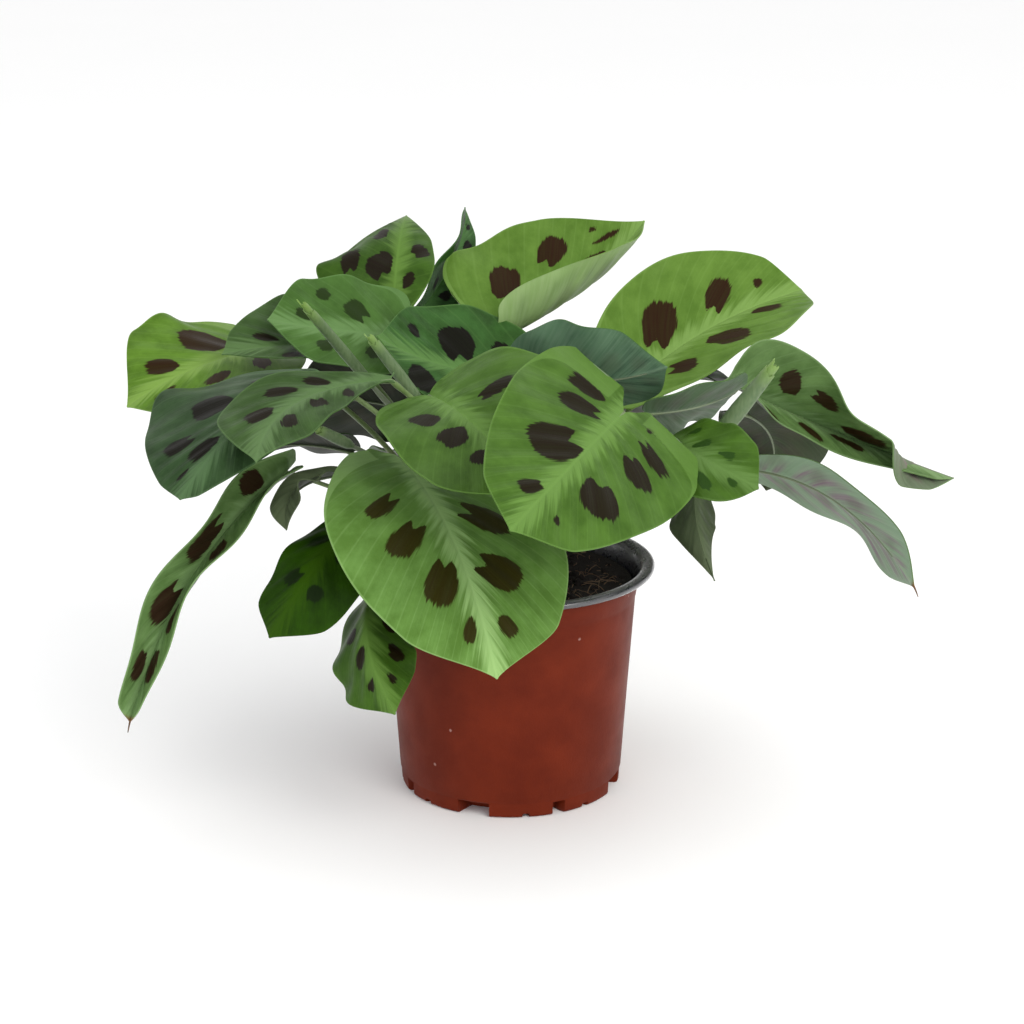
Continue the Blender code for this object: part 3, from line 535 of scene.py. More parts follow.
# Upper side and under side; where a tip has dried, also the share of the length that is brown and the
# length in millimetres of the thread that it ends in
FINISHES = {
    "leaf_front_large": ("sunlit", "silvery"),
    "leaf_front_right_large": ("fresh", "silvery"),
    "leaf_front_centre": ("fresh", "silvery"),
    "leaf_middle_centre": ("sheltered", "silvery"),
    "leaf_right_upper": ("bright", "silvery"),
    "leaf_back_half_rolled": ("bright", "pale green"),
    "leaf_back_left_upright": ("mossy", "pale green"),
    "leaf_middle_left": ("young", "pale green"),
    "leaf_left_behind": ("middle", "silvery"),
    "leaf_far_left": ("lime", "silvery"),
    "leaf_left_broad": ("greyish", "silvery"),
    "leaf_left_centre": ("middle", "silvery"),
    "leaf_left_drooping": ("drooping", "silvery", 0.012, 5.0),
    "leaf_left_small_curled": ("dusky", "shaded"),
    "leaf_front_left_dark": ("olive", "shaded"),
    "leaf_front_left_low": ("mossy", "silvery"),
    "leaf_centre_turned_over": ("deep", "blue green"),
    "leaf_right_turned_over": ("middle", "sheen"),
    "leaf_far_right": ("shady", "grey green"),
    "leaf_right_drooping": ("middle", "streaked", 0.015, 4.5),
    "leaf_right_young": ("tender", "pale green"),
    "leaf_right_behind": ("olive", "shaded"),
    "leaf_right_narrow": ("dusky", "shaded"),
    "leaf_back_folded": ("deep", "shaded"),
    # Three leaves deep in the foliage, near black on both sides as painted shade
    "leaf_right_under": ("hidden", "hidden"),
    "leaf_left_under": ("hidden", "hidden"),
    "leaf_rear_far_left": ("hidden", "hidden"),
    "leaf_rear_low_right": ("fresh", "silvery"),
    "leaf_rear_right": ("fresh", "silvery"),
}
USUAL_FINISH = ("middle", "silvery")

# Upper sides: blade, its darker patches, the pale band along the midrib, the blotches. Besides each
# leaf's own green, the looks hold painted light and shade: made lighter or darker leaf by leaf for how
# much light each leaf gets.
UPPER_COLOURS = {
    "sunlit": ("#648a42", "#50732e", "#94b872", "#2d280a"),
    "bright": ("#5d7e32", "#4c6c24", "#76964e", "#271103"),
    "lime": ("#597d28", "#45651a", "#789847", "#271404"),
    "fresh": ("#486925", "#385619", "#62853e", "#170e02"),
    "mossy": ("#3c5c1a", "#2d4910", "#597a34", "#170e03"),
    "middle": ("#3a5428", "#2c431c", "#577345", "#150e03"),
    "deep": ("#2e5126", "#213c18", "#4a6e3d", "#0a0702"),
    # Lighter than the leaf's own green, as painted light on a leaf that sits sheltered in shade
    "sheltered": ("#365b29", "#27441a", "#587c41", "#0a0702"),
    "greyish": ("#324b2a", "#25391f", "#4e6a44", "#0d0903"),
    # Much lighter than the leaf's own green, as painted light: light on a leaf that faces away from the
    # lamps, and light through its blade
    "drooping": ("#65834e", "#506d3a", "#7c9a66", "#2c1b13"),
    # Much lighter than the leaf's own green, as painted light on a leaf that lies in shade
    "shady": ("#5d7a46", "#4a6635", "#7a9665", "#27180b"),
    "tender": ("#3f5f1c", "#324e14", "#59783c", "#223d0d"),
    "young": ("#46682e", "#385622", "#62834e", "#1f2f0d"),
    # Olive green darkened to near black as painted shade, for leaves that lie in shade
    "olive": ("#244401", "#193201", "#2c4a04", "#101f06"),
    "dusky": ("#455038", "#38422c", "#566247", "#2a2f1f"),
    # Near black, as painted shade, for leaves deep in the foliage
    "hidden": ("#22351a", "#1a2912", "#2f4222", "#0f1007"),
}

# Under sides: blade, streaks along the veins, midrib
UNDER_COLOURS = {
    "silvery": ("#737e6f", "#755f6c", "#8a967e"),
    "sheen": ("#445d3e", "#596157", "#7c8b77"),
    "streaked": ("#7a9178", "#7b6474", "#94a78c"),
    "blue green": ("#4d6b50", "#36513d", "#728b72"),
    "grey green": ("#5f6d54", "#725f61", "#7c8a72"),
    "pale green": ("#7e9a5e", "#68834d", "#9baf7f"),
    "shaded": ("#2c391f", "#2c2b22", "#3d4830"),
    # Near black, as painted shade, for leaves deep in the foliage
    "hidden": ("#1f2717", "#1a1e13", "#2b3622"),
}

# Stalks and their material, then dried tips, new leaves, scuffs on the pot, dust in it and fibres
STALK_SKIN = "living stalk, smooth ridged skin"
STALK_GREENS = ("#758b53", "#576d3c")
STALK_FOOT = "#55412e"
# Under the blade the midrib is paler grey, darkened as painted shade
STALK_UNDER_BLADE = "#6e7a60"
DEAD_TIP_DARK = "#3b2716"
NEW_LEAF_GREENS = ("#516943", "#657853")
NEW_LEAF_END = "#779649"
SCUFF = "#b08a80"
PEAT_DUST = "#4a423c"
FIBRE_BROWNS = ("#3a2a20", "#7d6650")


def to_linear(colour):
    """An sRGB hex colour as the linear red, green, blue and alpha that sockets take."""
    shares = [int(colour[start:start + 2], 16) / 255 for start in (1, 3, 5)]
    parts = [part / 12.92 if part <= 0.04045 else ((part + 0.055) / 1.055) ** 2.4 for part in shares]
    return (*parts, 1.0)


class Paint:
    """A material in the making: constant values sit on its shader's own sockets, patterns are nodes."""

    def __init__(self, name, roughness, ior=1.45, specular=0.5):
        self.material = bpy.data.materials.new(name)
        self.material.use_nodes = True
        self.tree = self.material.node_tree
        self.shader = self.tree.nodes["Principled BSDF"]
        self.fill(self.shader, {"Roughness": roughness, "IOR": ior, "Specular IOR Level": specular})

    def fill(self, node, inputs):
        """Gives each input of a node its constant value, or links another node's output to it."""
        for name, value in inputs.items():
            if isinstance(value, bpy.types.NodeSocket):
                self.tree.links.new(value, node.inputs[name])
            else:
                node.inputs[name].default_value = value

    def add(self, kind, inputs, out=0, **settings):
        """Adds a node and returns one of its outputs."""
        made = self.tree.nodes.new(kind)
        for name, value in settings.items():
            setattr(made, name, value)
        self.fill(made, inputs)
        return made.outputs[out]

    def attribute(self, name, out="Fac"):
        return self.add("ShaderNodeAttribute", {}, out, attribute_name=name)

    def object_place(self):
        return self.add("ShaderNodeTexCoord", {}, "Object")

    def along_veins(self):
        """Flat place on the blade in mm, distance from the midrib, vein, and place along the vein."""
        flat = self.attribute("flat", "Vector")
        across, vein = (self.add("ShaderNodeSeparateXYZ", {0: flat}, axis) for axis in "XZ")
        along = self.add("ShaderNodeCombineXYZ", {0: across, 1: vein})
        return flat, self.maths("ABSOLUTE", across), vein, along

    def stretched(self, place, *factors):
        """A place scaled along each axis, for a pattern that is longer one way than another."""
        return self.add("ShaderNodeVectorMath", {0: place, 1: factors}, operation="MULTIPLY")

    def noise(self, place, scale=1.0, detail=2.0, roughness=0.5):
        return self.add("ShaderNodeTexNoise",
                        {"Vector": place, "Scale": scale, "Detail": detail, "Roughness": roughness})

    def maths(self, operation, *values):
        return self.add("ShaderNodeMath", dict(enumerate(values)), operation=operation)

    def remap(self, value, low, high, start=0.0, end=1.0, kind="LINEAR"):
        """Goes from start to end as the value goes from low to high, and no further."""
        return self.add("ShaderNodeMapRange", {"Value": value, "From Min": low, "From Max": high,
                                               "To Min": start, "To Max": end}, interpolation_type=kind)

    def blend(self, share, first, second):
        """The first colour where the share is 0, the second where it is 1; hex colours are converted."""
        first, second = (to_linear(part) if isinstance(part, str) else part for part in (first, second))
        return self.add("ShaderNodeMix", {"Factor": share, 6: first, 7: second}, 2, data_type="RGBA")

    def finish(self, colour, relief=None, depth=0.0, strength=1.0, gloss=None):
        """Gives the shader its colour, its relief, whose depth is in mm, and its uneven roughness."""
        inputs = {"Base Color": colour}
        if relief is not None:
            inputs["Normal"] = self.add("ShaderNodeBump", {"Height": relief, "Distance": depth * MM,
                                                           "Strength": strength}, "Normal")
        if gloss is not None:
            inputs["Roughness"] = gloss
        self.fill(self.shader, inputs)
        return self.material


def once(make, name, *details):
    """The material of a name, made the first time that it is asked for."""
    return bpy.data.materials.get(name) or make(name, *details)


# Living leaf, upper side: waxy skin over green tissue. Satin, with a paler feathered band along the
# midrib, fine veins that sweep to the edge, and dark blotches that fray along the veins.
def upper_material(name, look, settings):
    blade, patch, band, blotch = UPPER_COLOURS[look]
    paint = Paint(name, 0.42, specular=0.09)
    flat, reach, vein, along_veins = paint.along_veins()
    spot, fray, edge, dry = (paint.attribute(part) for part in ("spot", "fray", "edge", "dry"))

    # Fine veins stand about 0.8 mm apart and are drawn a little coarser so that they show
    fine = paint.noise(paint.stretched(along_veins, 0.05, 1.0, 1.0), detail=3.0)
    broad = paint.noise(paint.stretched(along_veins, 0.05, 0.3, 1.0))
    mottle = paint.noise(flat, 0.07, 4.0, 0.6)
    colour = paint.blend(paint.remap(mottle, 0.38, 0.66), blade, patch)
    colour = paint.blend(paint.remap(fine, 0.35, 0.7, 0.0, 0.25), colour, patch)

    # The pale band fades out over about 8 mm on each side and reaches further along some veins
    pushed = paint.maths("MULTIPLY_ADD", broad, -16.0, reach)
    feathered = paint.maths("MULTIPLY_ADD", fine, -5.0, pushed)
    colour = paint.blend(paint.remap(feathered, -9.5, -2.5, 0.8, 0.0, "SMOOTHSTEP"), colour, band)

    # Side ribs, each a faint pale line about half a millimetre to either side
    rib = paint.maths("PINGPONG", vein, settings.rib_spacing / 2 / MM)
    colour = paint.blend(paint.remap(rib, 0.0, 0.45, 0.14, 0.0), colour, band)

    # Dark green shadow beyond each blotch, then the blotch with teeth about 1 mm apart
    tooth = paint.noise(paint.stretched(along_veins, 0.10, 0.75, 1.0), detail=3.0, roughness=0.65)
    swing = paint.remap(fray, 0.0, 1.0, 2.2, 4.6)
    frayed = paint.maths("MULTIPLY_ADD", paint.maths("ADD", tooth, -0.5), swing, spot)
    shadow = paint.maths("MULTIPLY", paint.remap(frayed, 0.2, 3.4, 0.5, 0.0), fray)
    colour = paint.blend(shadow, colour, patch)
    dark = paint.blend(paint.remap(fine, 0.3, 0.75, 0.0, 0.06), blotch, patch)
    colour = paint.blend(paint.remap(frayed, -0.45, 0.45, 1.0, 0.0, "SMOOTHSTEP"), colour, dark)

    # Midrib, pale edge line and dried tip
    colour = paint.blend(paint.remap(reach, 0.25, 0.9, 0.7, 0.0), colour, band)
    colour = paint.blend(paint.remap(edge, 0.25, 0.8, 0.45, 0.0), colour, band)
    colour = paint.blend(dry, colour, settings.dry_hex)
    relief = paint.maths("MULTIPLY_ADD", paint.noise(flat, 1.6), 0.35, fine)
    return paint.finish(colour, relief, 0.25, 0.5, gloss=paint.remap(mottle, 0.3, 0.7, 0.36, 0.5))


# Living leaf, under side: soft downy skin with a grey bloom, fine veins and purple-pink streaks
def under_material(name, look, settings):
    blade, streak, band = UNDER_COLOURS[look]
    paint = Paint(name, 0.5, specular=0.2)
    _, reach, _, along_veins = paint.along_veins()
    spot, edge, dry = (paint.attribute(part) for part in ("spot", "edge", "dry"))
    fine = paint.noise(paint.stretched(along_veins, 0.05, 0.9, 1.0), detail=3.0)
    broad = paint.noise(paint.stretched(along_veins, 0.04, 0.16, 1.0), detail=3.0)

    # Streaks, but the margin stays green for about 4 mm
    streaks = paint.remap(broad, 0.42, 0.62, 0.0, 0.9)
    streaks = paint.maths("MULTIPLY", streaks, paint.remap(edge, 2.0, 7.0))
    colour = paint.blend(streaks, blade, streak)
    colour = paint.blend(paint.remap(fine, 0.35, 0.7, 0.0, 0.35), colour, band)
    colour = paint.blend(paint.remap(spot, -1.5, 2.0, 0.25, 0.0), colour, settings.shadow_hex)
    colour = paint.blend(paint.remap(reach, 0.3, 1.1, 0.5, 0.0), colour, band)
    colour = paint.blend(dry, colour, settings.dry_hex)
    return paint.finish(colour, fine, 0.3, 0.6)


# Living stalk: smooth fibrous green skin, ridged along its length, greyer under the blade, where its
# grey is also darkened as painted shade, brown at its foot
def stalk_material(name):
    paint = Paint(name, 0.4)
    rise = paint.attribute("rise")
    grain = paint.noise(paint.stretched(paint.object_place(), 1.6 / MM, 1.6 / MM, 0.12 / MM))
    colour = paint.blend(grain, *STALK_GREENS)
    colour = paint.blend(paint.remap(rise, 0.02, 0.35, 1.0, 0.0, "SMOOTHSTEP"), colour, STALK_FOOT)
    # Under the blade: the midrib's grey, darkened as painted shade
    colour = paint.blend(paint.remap(rise, 0.62, 0.7), colour, STALK_UNDER_BLADE)
    return paint.finish(colour, grain, 0.3, 0.5)


# Dead leaf tip, dried to a thread: brittle, matt and brown
def dead_tip_material(name, settings):
    paint = Paint(name, 0.8, 1.4)
    tone = paint.noise(paint.object_place(), 0.8 / MM)
    return paint.finish(paint.blend(tone, settings.dry_hex, DEAD_TIP_DARK))


# New leaf: tender tissue, tightly rolled, so it is evenly green with fine lines round the roll, and
# bright where light comes through its open end
def new_leaf_material(name):
    paint = Paint(name, 0.42)
    grain = paint.noise(paint.stretched(paint.object_place(), 0.9 / MM, 0.9 / MM, 0.2 / MM), detail=3.0)
    colour = paint.blend(paint.remap(grain, 0.3, 0.7), *NEW_LEAF_GREENS)
    colour = paint.blend(paint.remap(paint.attribute("rise"), 0.72, 0.98), colour, NEW_LEAF_END)
    return paint.finish(colour, grain, 0.3, 0.5)


# Polypropylene sheet, thermoformed, outer layer: matt terracotta brown with faint clouding and a few
# pale specks where it was scuffed
def pot_outside_material(settings):
    paint = Paint("polypropylene sheet, thermoformed, brown outer layer", 0.45, 1.49, 0.10)
    place = paint.object_place()
    cloud = paint.noise(place, 0.05 / MM, 4.0, 0.6)
    grain = paint.noise(place, 1.2 / MM)
    colour = paint.blend(paint.remap(cloud, 0.35, 0.65), settings.outside_hex, settings.cloud_hex)
    speck = paint.add("ShaderNodeTexVoronoi", {"Vector": place, "Scale": 0.045 / MM}, "Distance")
    ragged = paint.maths("MULTIPLY_ADD", grain, 0.035, speck)
    colour = paint.blend(paint.remap(ragged, 0.035, 0.055, 0.6, 0.0), colour, SCUFF)
    return paint.finish(colour, grain, 0.12, 0.4, gloss=paint.remap(cloud, 0.3, 0.7, 0.4, 0.52))


# Polypropylene sheet, thermoformed, inner layer: black, glossy on the rolled rim, dusted with dry peat
def pot_inside_material(settings):
    paint = Paint("polypropylene sheet, thermoformed, black inner layer", 0.3, 1.49, 0.9)
    paint.fill(paint.shader, {"Coat Weight": 1.0, "Coat Roughness": 0.18})
    dust = paint.noise(paint.object_place(), 0.35 / MM, 5.0, 0.7)
    colour = paint.blend(paint.remap(dust, 0.5, 0.75, 0.0, 0.5), settings.inside_hex, PEAT_DUST)
    return paint.finish(colour, gloss=paint.remap(dust, 0.4, 0.75, 0.24, 0.6))


# Peat, milled and moist: near black, rough, with brown crumbs
def peat_material(settings):
    paint = Paint("sphagnum peat, milled and moist", 0.95, 1.4)
    lumps = paint.noise(paint.object_place(), 0.4 / MM, 6.0, 0.75)
    colour = paint.blend(paint.remap(lumps, 0.35, 0.75), settings.dark_hex, settings.crumb_hex)
    return paint.finish(colour, lumps, 1.2, 0.9)


# Peat fibre, dried: pale brown threads of moss and root
def fibre_material():
    paint = Paint("peat fibre, dried", 0.8, 1.4)
    return paint.finish(paint.blend(paint.noise(paint.object_place(), 0.15 / MM), *FIBRE_BROWNS))


# Painted board, rolled: a plain pale floor, faintly uneven in tone
def floor_material(settings):
    paint = Paint("painted board, rolled", 0.7)
    white = to_linear(settings.floor_hex)
    darker = tuple(0.985 * part for part in white)
    return paint.finish(paint.blend(paint.noise(paint.object_place(), 3.0), white, darker))


def deselect():
    """Nothing stays selected, so that the next operator acts on its own piece alone."""
    if bpy.context.mode != "OBJECT":
        bpy.ops.object.mode_set(mode="OBJECT")
    bpy.ops.object.select_all(action="DESELECT")


def take_up(name):
    """The object that an operator has just added, under its own name."""
    piece = bpy.context.object
    piece.name = name
    piece.data.name = name
    return piece


def make_active(piece):
    deselect()
    piece.select_set(True)
    bpy.context.view_layer.objects.active = piece


def apply_modifier(piece, kind, **settings):
    """Adds a modifier with its settings and applies it."""
    make_active(piece)
    modifier = piece.modifiers.new(kind.lower(), kind)
    for name, value in settings.items():
        setattr(modifier, name, value)
    bpy.ops.object.modifier_apply(modifier=modifier.name)


def set_attribute(piece, name, kind, values):
    """A value or vector for each vertex, which the materials read."""
    attribute = piece.data.attributes.new(name, kind, "POINT")
    values = np.ascontiguousarray(values, dtype=np.float32)
    attribute.data.foreach_set("vector" if kind == "FLOAT_VECTOR" else "value", values.ravel())


def move_vertices(piece, points):
    """Puts the vertices at points in millimetres."""
    points = np.ascontiguousarray(points * MM, dtype=np.float32)
    piece.data.vertices.foreach_set("co", points.ravel())
    piece.data.update()


def vertex_places(piece):
    """The vertices as an array, in the mesh's own unit."""
    points = np.empty(len(piece.data.vertices) * 3)
    piece.data.vertices.foreach_get("co", points)
    return points.reshape(-1, 3)


def join_pieces(first, *others):
    make_active(first)
    for other in others:
        other.select_set(True)
    bpy.ops.object.join()
    return first


def shade(piece, angle):
    make_active(piece)
    bpy.ops.object.shade_smooth_by_angle(angle=math.radians(angle))


@contextmanager
def editing(piece):
    """Edit mode with the whole mesh selected."""
    make_active(piece)
    bpy.ops.object.mode_set(mode="EDIT")
    bpy.ops.mesh.select_all(action="SELECT")
    yield
    bpy.ops.object.mode_set(mode="OBJECT")


def face_outwards():
    bpy.ops.mesh.select_all(action="SELECT")
    bpy.ops.mesh.normals_make_consistent(inside=False)


def extrude_profile(profile, radius, height):
    """Extrudes the selected disc or ring from a radius and height through those of a profile, in mm."""
    for next_radius, next_height in profile:
        up = (next_height - height) * MM
        bpy.ops.mesh.extrude_region_move(TRANSFORM_OT_translate={"value": (0, 0, up)})
        factor = next_radius / radius
        bpy.ops.transform.resize(value=(factor, factor, 1), center_override=(0, 0, next_height * MM))
        radius, height = next_radius, next_height


def loose_bodies(name, points, faces):
    """Many small closed bodies as one piece, from points in millimetres."""
    mesh = bpy.data.meshes.new(name)
    mesh.from_pydata((np.array(points) * MM).tolist(), [], faces)
    piece = bpy.data.objects.new(name, mesh)
    bpy.context.scene.collection.objects.link(piece)
    with editing(piece):
        face_outwards()
    return piece


def add_grid(name, columns, rows):
    """A grid, with the column from -1 to 1 and the row from 0 to 1 of each of its points."""
    deselect()
    bpy.ops.mesh.primitive_grid_add(x_subdivisions=columns, y_subdivisions=rows, size=2,
                                    location=(0, 0, 0))
    piece = take_up(name)
    places = vertex_places(piece)
    return piece, places[:, 0], (places[:, 1] + 1) / 2


def hand_over(piece, node):
    """The piece stands for its CAD node and rides on the plant's one body."""
    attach(piece, BODY)
    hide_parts(node)


def round_bar(name, path, radii, around):
    """A closed round bar through points in mm, from a curve with a bevel and a radius at each point."""
    deselect()
    bpy.ops.curve.primitive_nurbs_path_add(location=(0, 0, 0))
    bar = take_up(name)
    curve = bar.data
    curve.splines.clear()
    spline = curve.splines.new("POLY")
    spline.points.add(len(path) - 1)
    for point, place, radius in zip(spline.points, path, radii):
        point.co = (*(place * MM), 1.0)
        point.radius = radius
    curve.dimensions = "3D"
    curve.bevel_depth = MM
    curve.bevel_resolution = around
    curve.use_fill_caps = True
    make_active(bar)
    bpy.ops.object.convert(target="MESH")
    bar = bpy.context.object
    distances = np.linalg.norm(vertex_places(bar)[:, None, :] / MM - path[None, :, :], axis=2)
    set_attribute(bar, "rise", "FLOAT", distances.argmin(axis=1) / (len(path) - 1))
    return bar


def vein_places(leaf, across, along):
    """Where on the midrib the vein through a place starts: veins fan out and sweep towards the tip."""
    reach = np.abs(across)
    swept = VEIN_START * reach + VEIN_BEND * reach ** 2 / (leaf.width / 2)
    return (along - swept) / (1 + VEIN_FAN * reach / leaf.length)


def usual_blotches(leaf, seed):
    """Blotches for a leaf whose upper side isn't shown: slightly uneven pairs, small near the tip."""
    random = np.random.default_rng(seed)
    marks = []
    for across, along, size in USUAL_BLOTCHES:
        for hand in (-1, 1):
            uneven = random.uniform(0.85, 1.15, 3)
            length = size * leaf.width / 2 * uneven[1]
            marks.append((hand * across * uneven[0], along + random.uniform(-0.02, 0.02), length,
                          length * USUAL_BLOTCH_HEIGHT * uneven[2]))
    return marks


def torn_start(beside, random):
    """Where a blotch starts, as a share of its length: the line by the midrib has one point or two."""
    point = random.uniform(-0.35, 0.35)
    split = random.uniform(0.38, 0.55)
    if random.uniform() < 0.6:
        return 0.55 * np.abs(np.abs(beside) - split)
    return 0.30 * np.abs(beside - point)


def square_blotch(share, beside, length, height, start):
    """Signed distance to a large blotch: a torn start, sides that spread a little and a round end."""
    spread = 0.66 + 0.34 * smooth_step(share / 0.6)
    beyond = np.clip(share - 0.45, 0, None) / 0.55
    round_end = (beyond ** 3 + (np.abs(beside) / spread) ** 3) ** (1 / 3) - 1
    return np.maximum((start - share) * length, round_end * height / 2)


def drop_blotch(share, beside, length, height):
    """Signed distance to a small blotch: a drop, pointed by the midrib and widest past its middle."""
    widest = 0.55
    inside = np.clip(share, 0, 1)
    beyond = np.clip((inside - widest) / (1 - widest), 0, 1)
    outline = np.where(inside < widest, (inside / widest) ** 0.65, np.sqrt(1 - beyond ** 2.6))
    return np.maximum((np.abs(beside) - outline) * height / 2, np.maximum(-share, share - 1) * length)


def blotch_distances(leaf, across, along, marks, random):
    """Signed distance to the nearest blotch, less than 0 inside, and how far out along it a place is."""
    nearest = np.full(len(across), FAR_FROM_BLOTCH)
    outward = np.zeros(len(across))
    half = leaf.width / 2
    for middle, start, length, height, *slant in marks:
        hand = 1 if middle >= 0 else -1
        reach = abs(middle) * half
        if slant:
            angle = math.radians(slant[0])
        else:
            own_vein = vein_places(leaf, np.array([reach]), np.array([start * leaf.length]))[0]
            slope = VEIN_START + 2 * VEIN_BEND * reach / half + VEIN_FAN * own_vein / leaf.length
            angle = math.atan(slope)
        out = across * hand - reach
        ahead = along - start * leaf.length
        share = (out * math.cos(angle) + ahead * math.sin(angle)) / length + 0.5
        beside = (ahead * math.cos(angle) - out * math.sin(angle)) / (height / 2)
        squareness = smooth_step((height - SQUARE_FROM_HEIGHT) / 5)
        start_line = torn_start(beside, random) * squareness
        distance = (square_blotch(share, beside, length, height, start_line) * squareness
                    + drop_blotch(share, beside, length, height) * (1 - squareness))
        distance = np.maximum(distance, BLOTCH_FREE_STRIP - across * hand)
        closer = distance < nearest
        nearest[closer] = distance[closer]
        outward[closer] = np.clip(share[closer], 0, 1)
    return nearest, outward


def make_blade(leaf, settings, marks, dry_share):
    """The blade as a sheet: a grid bent into shape, with its groove, its quilting and its attributes."""
    columns = max(SMALLEST_GRID, 2 * round(leaf.width / CELL / 2))
    rows = max(SMALLEST_GRID, round(leaf.length / CELL))
    blade, column, row = add_grid(leaf.name, columns, rows)
    across, along = leaf.flat(column, row)
    vein = vein_places(leaf, across, along)
    share = np.clip(along / leaf.length, 0, 1)
    reach = np.abs(across)
    half = leaf.half_width(share, np.sign(across))

    # Normals of the bent sheet, from places half a millimetre away
    middle = leaf.place(across, along)
    step = 0.5
    ahead = leaf.place(across, along + step)
    aside = leaf.place(across + step, along) - leaf.place(across - step, along)
    normal = np.cross(aside, ahead - middle)
    normal /= np.linalg.norm(normal, axis=1)[:, None]
    fade = smooth_step(reach / QUILT_FADE) * smooth_step((half - reach) / QUILT_FADE)
    quilt = np.cos(2 * math.pi * vein / (settings.quilt_spacing / MM)) * fade * settings.quilt_depth / MM
    groove = -settings.groove_depth / MM * np.exp(-(reach / GROOVE_WIDTH) ** 2) * (1 - share) ** 0.3
    # Each leaf draws its own numbers, from a seed that its name gives
    random = np.random.default_rng(sum(map(ord, leaf.name)))
    phase = random.uniform(0, 6.28, 4)
    bumps = np.sin(along / UNEVEN_ALONG + phase[0]) * np.sin(across / UNEVEN_ACROSS + phase[1])
    uneven = UNEVEN_HEIGHT * bumps * smooth_step(reach / UNEVEN_FADE)
    move_vertices(blade, middle + normal * (quilt + groove + uneven)[:, None])

    distance, outward = blotch_distances(leaf, across, along, marks, random)
    dry = smooth_step((share - (1 - dry_share)) / DRY_FADE + 0.5) if dry_share else share * 0
    for name, values in (("spot", distance), ("fray", outward), ("edge", half - reach), ("dry", dry)):
        set_attribute(blade, name, "FLOAT", values)
    shift = random.uniform(0, 400)
    set_attribute(blade, "flat", "FLOAT_VECTOR", np.stack([across, along + shift, vein], axis=1))
    return blade


def dried_thread(leaf, length, settings):
    """The end of a tip that has dried to a thread and hangs a little."""
    point, direction, _, _ = leaf.frame(np.array([THREAD_START]))
    steps = np.linspace(0, 1, 7)[:, None]
    path = point + direction * length * steps - UP * THREAD_SAG * length * steps ** 2
    thread = round_bar("thread", path, np.linspace(*THREAD_RADII, len(path)), 2)
    thread.data.materials.append(once(dead_tip_material, "dead leaf tip, dried to a thread", settings))
    return thread


def make_leaf(leaf, settings, seed):
    """One leaf: blade, its under side, and the stalk that runs on as the midrib."""
    upper, under, *dried = FINISHES.get(leaf.name, USUAL_FINISH)
    marks = BLOTCHES[leaf.name] if leaf.name in BLOTCHES else usual_blotches(leaf, seed)
    blade = make_blade(leaf, settings, marks, dried[0] if dried else 0)
    for make, side, look in ((upper_material, "living leaf, waxy upper side, ", upper),
                             (under_material, "living leaf, downy under side, ", under)):
        blade.data.materials.append(once(make, side + look, look, settings))
    apply_modifier(blade, "SOLIDIFY", thickness=settings.thickness, offset=0.0, material_offset=1,
                   use_even_offset=False)
    path = leaf.stalk_path()
    rising = np.interp(np.linspace(0, 1, len(path) + 1 - MIDRIB_POINTS), *STALK_RADII)
    below = np.linspace(*MIDRIB_RADII, MIDRIB_POINTS - 1)
    # Leaves under 45 mm wide have thinner stalks
    slender = min(1.0, 0.55 + leaf.width / 100)
    stalk = round_bar("stalk", path, np.concatenate([rising, below]) * slender, 3)
    stalk.data.materials.append(once(stalk_material, STALK_SKIN))
    join_pieces(blade, stalk)
    if dried:
        join_pieces(blade, dried_thread(leaf, dried[1], settings))
    shade(blade, 50)
    hand_over(blade, leaf.name)


def make_roll(leaf, settings):
    """A new leaf: a sheet wound into a scroll that is open at its slanted tip, on its stalk."""
    foot = np.array(leaf.foot, float)
    tip = np.array(leaf.tip, float)
    length = np.linalg.norm(tip - foot)
    direction = unit(tip - foot)
    across = unit(np.cross(direction, (0.3, 0.9, 0.1)))
    other = np.cross(direction, across)
    roll, column, rise = add_grid(leaf.name, ROLL_CELLS_ROUND, ROLL_CELLS_ALONG)
    wound = (column + 1) / 2
    turn = wound * 2 * math.pi * ROLL_TURNS
    ragged = 0.012 * np.sin(wound * 31) + 0.010 * np.sin(wound * 77 + 1)
    top = length * (1 - ROLL_SLANT * wound + ragged)
    along = rise * top
    share = along / length
    outer = leaf.foot_radius + (leaf.tip_radius - leaf.foot_radius) * share
    radius = outer * np.interp(share, *ROLL_SWELL) - (1 - wound) * ROLL_PITCH * ROLL_TURNS
    radius = np.maximum(radius, ROLL_LEAST_RADIUS)
    points = (foot + direction * along[:, None] + across * (radius * np.cos(turn))[:, None]
              + other * (radius * np.sin(turn))[:, None])
    move_vertices(roll, points)
    set_attribute(roll, "rise", "FLOAT", share)
    with editing(roll):
        bpy.ops.mesh.flip_normals()
    roll.data.materials.append(once(new_leaf_material, "living new leaf, rolled and tender"))
    apply_modifier(roll, "SOLIDIFY", thickness=ROLL_THICKNESS * MM, offset=0.0, use_even_offset=False)
    path = leaf.stalk_path()
    stalk = round_bar("stalk", path, np.interp(np.linspace(0, 1, len(path)), *NEW_STALK_RADII), 3)
    stalk.data.materials.append(once(stalk_material, STALK_SKIN))
    join_pieces(roll, stalk)
    shade(roll, 50)
    hand_over(roll, leaf.name)


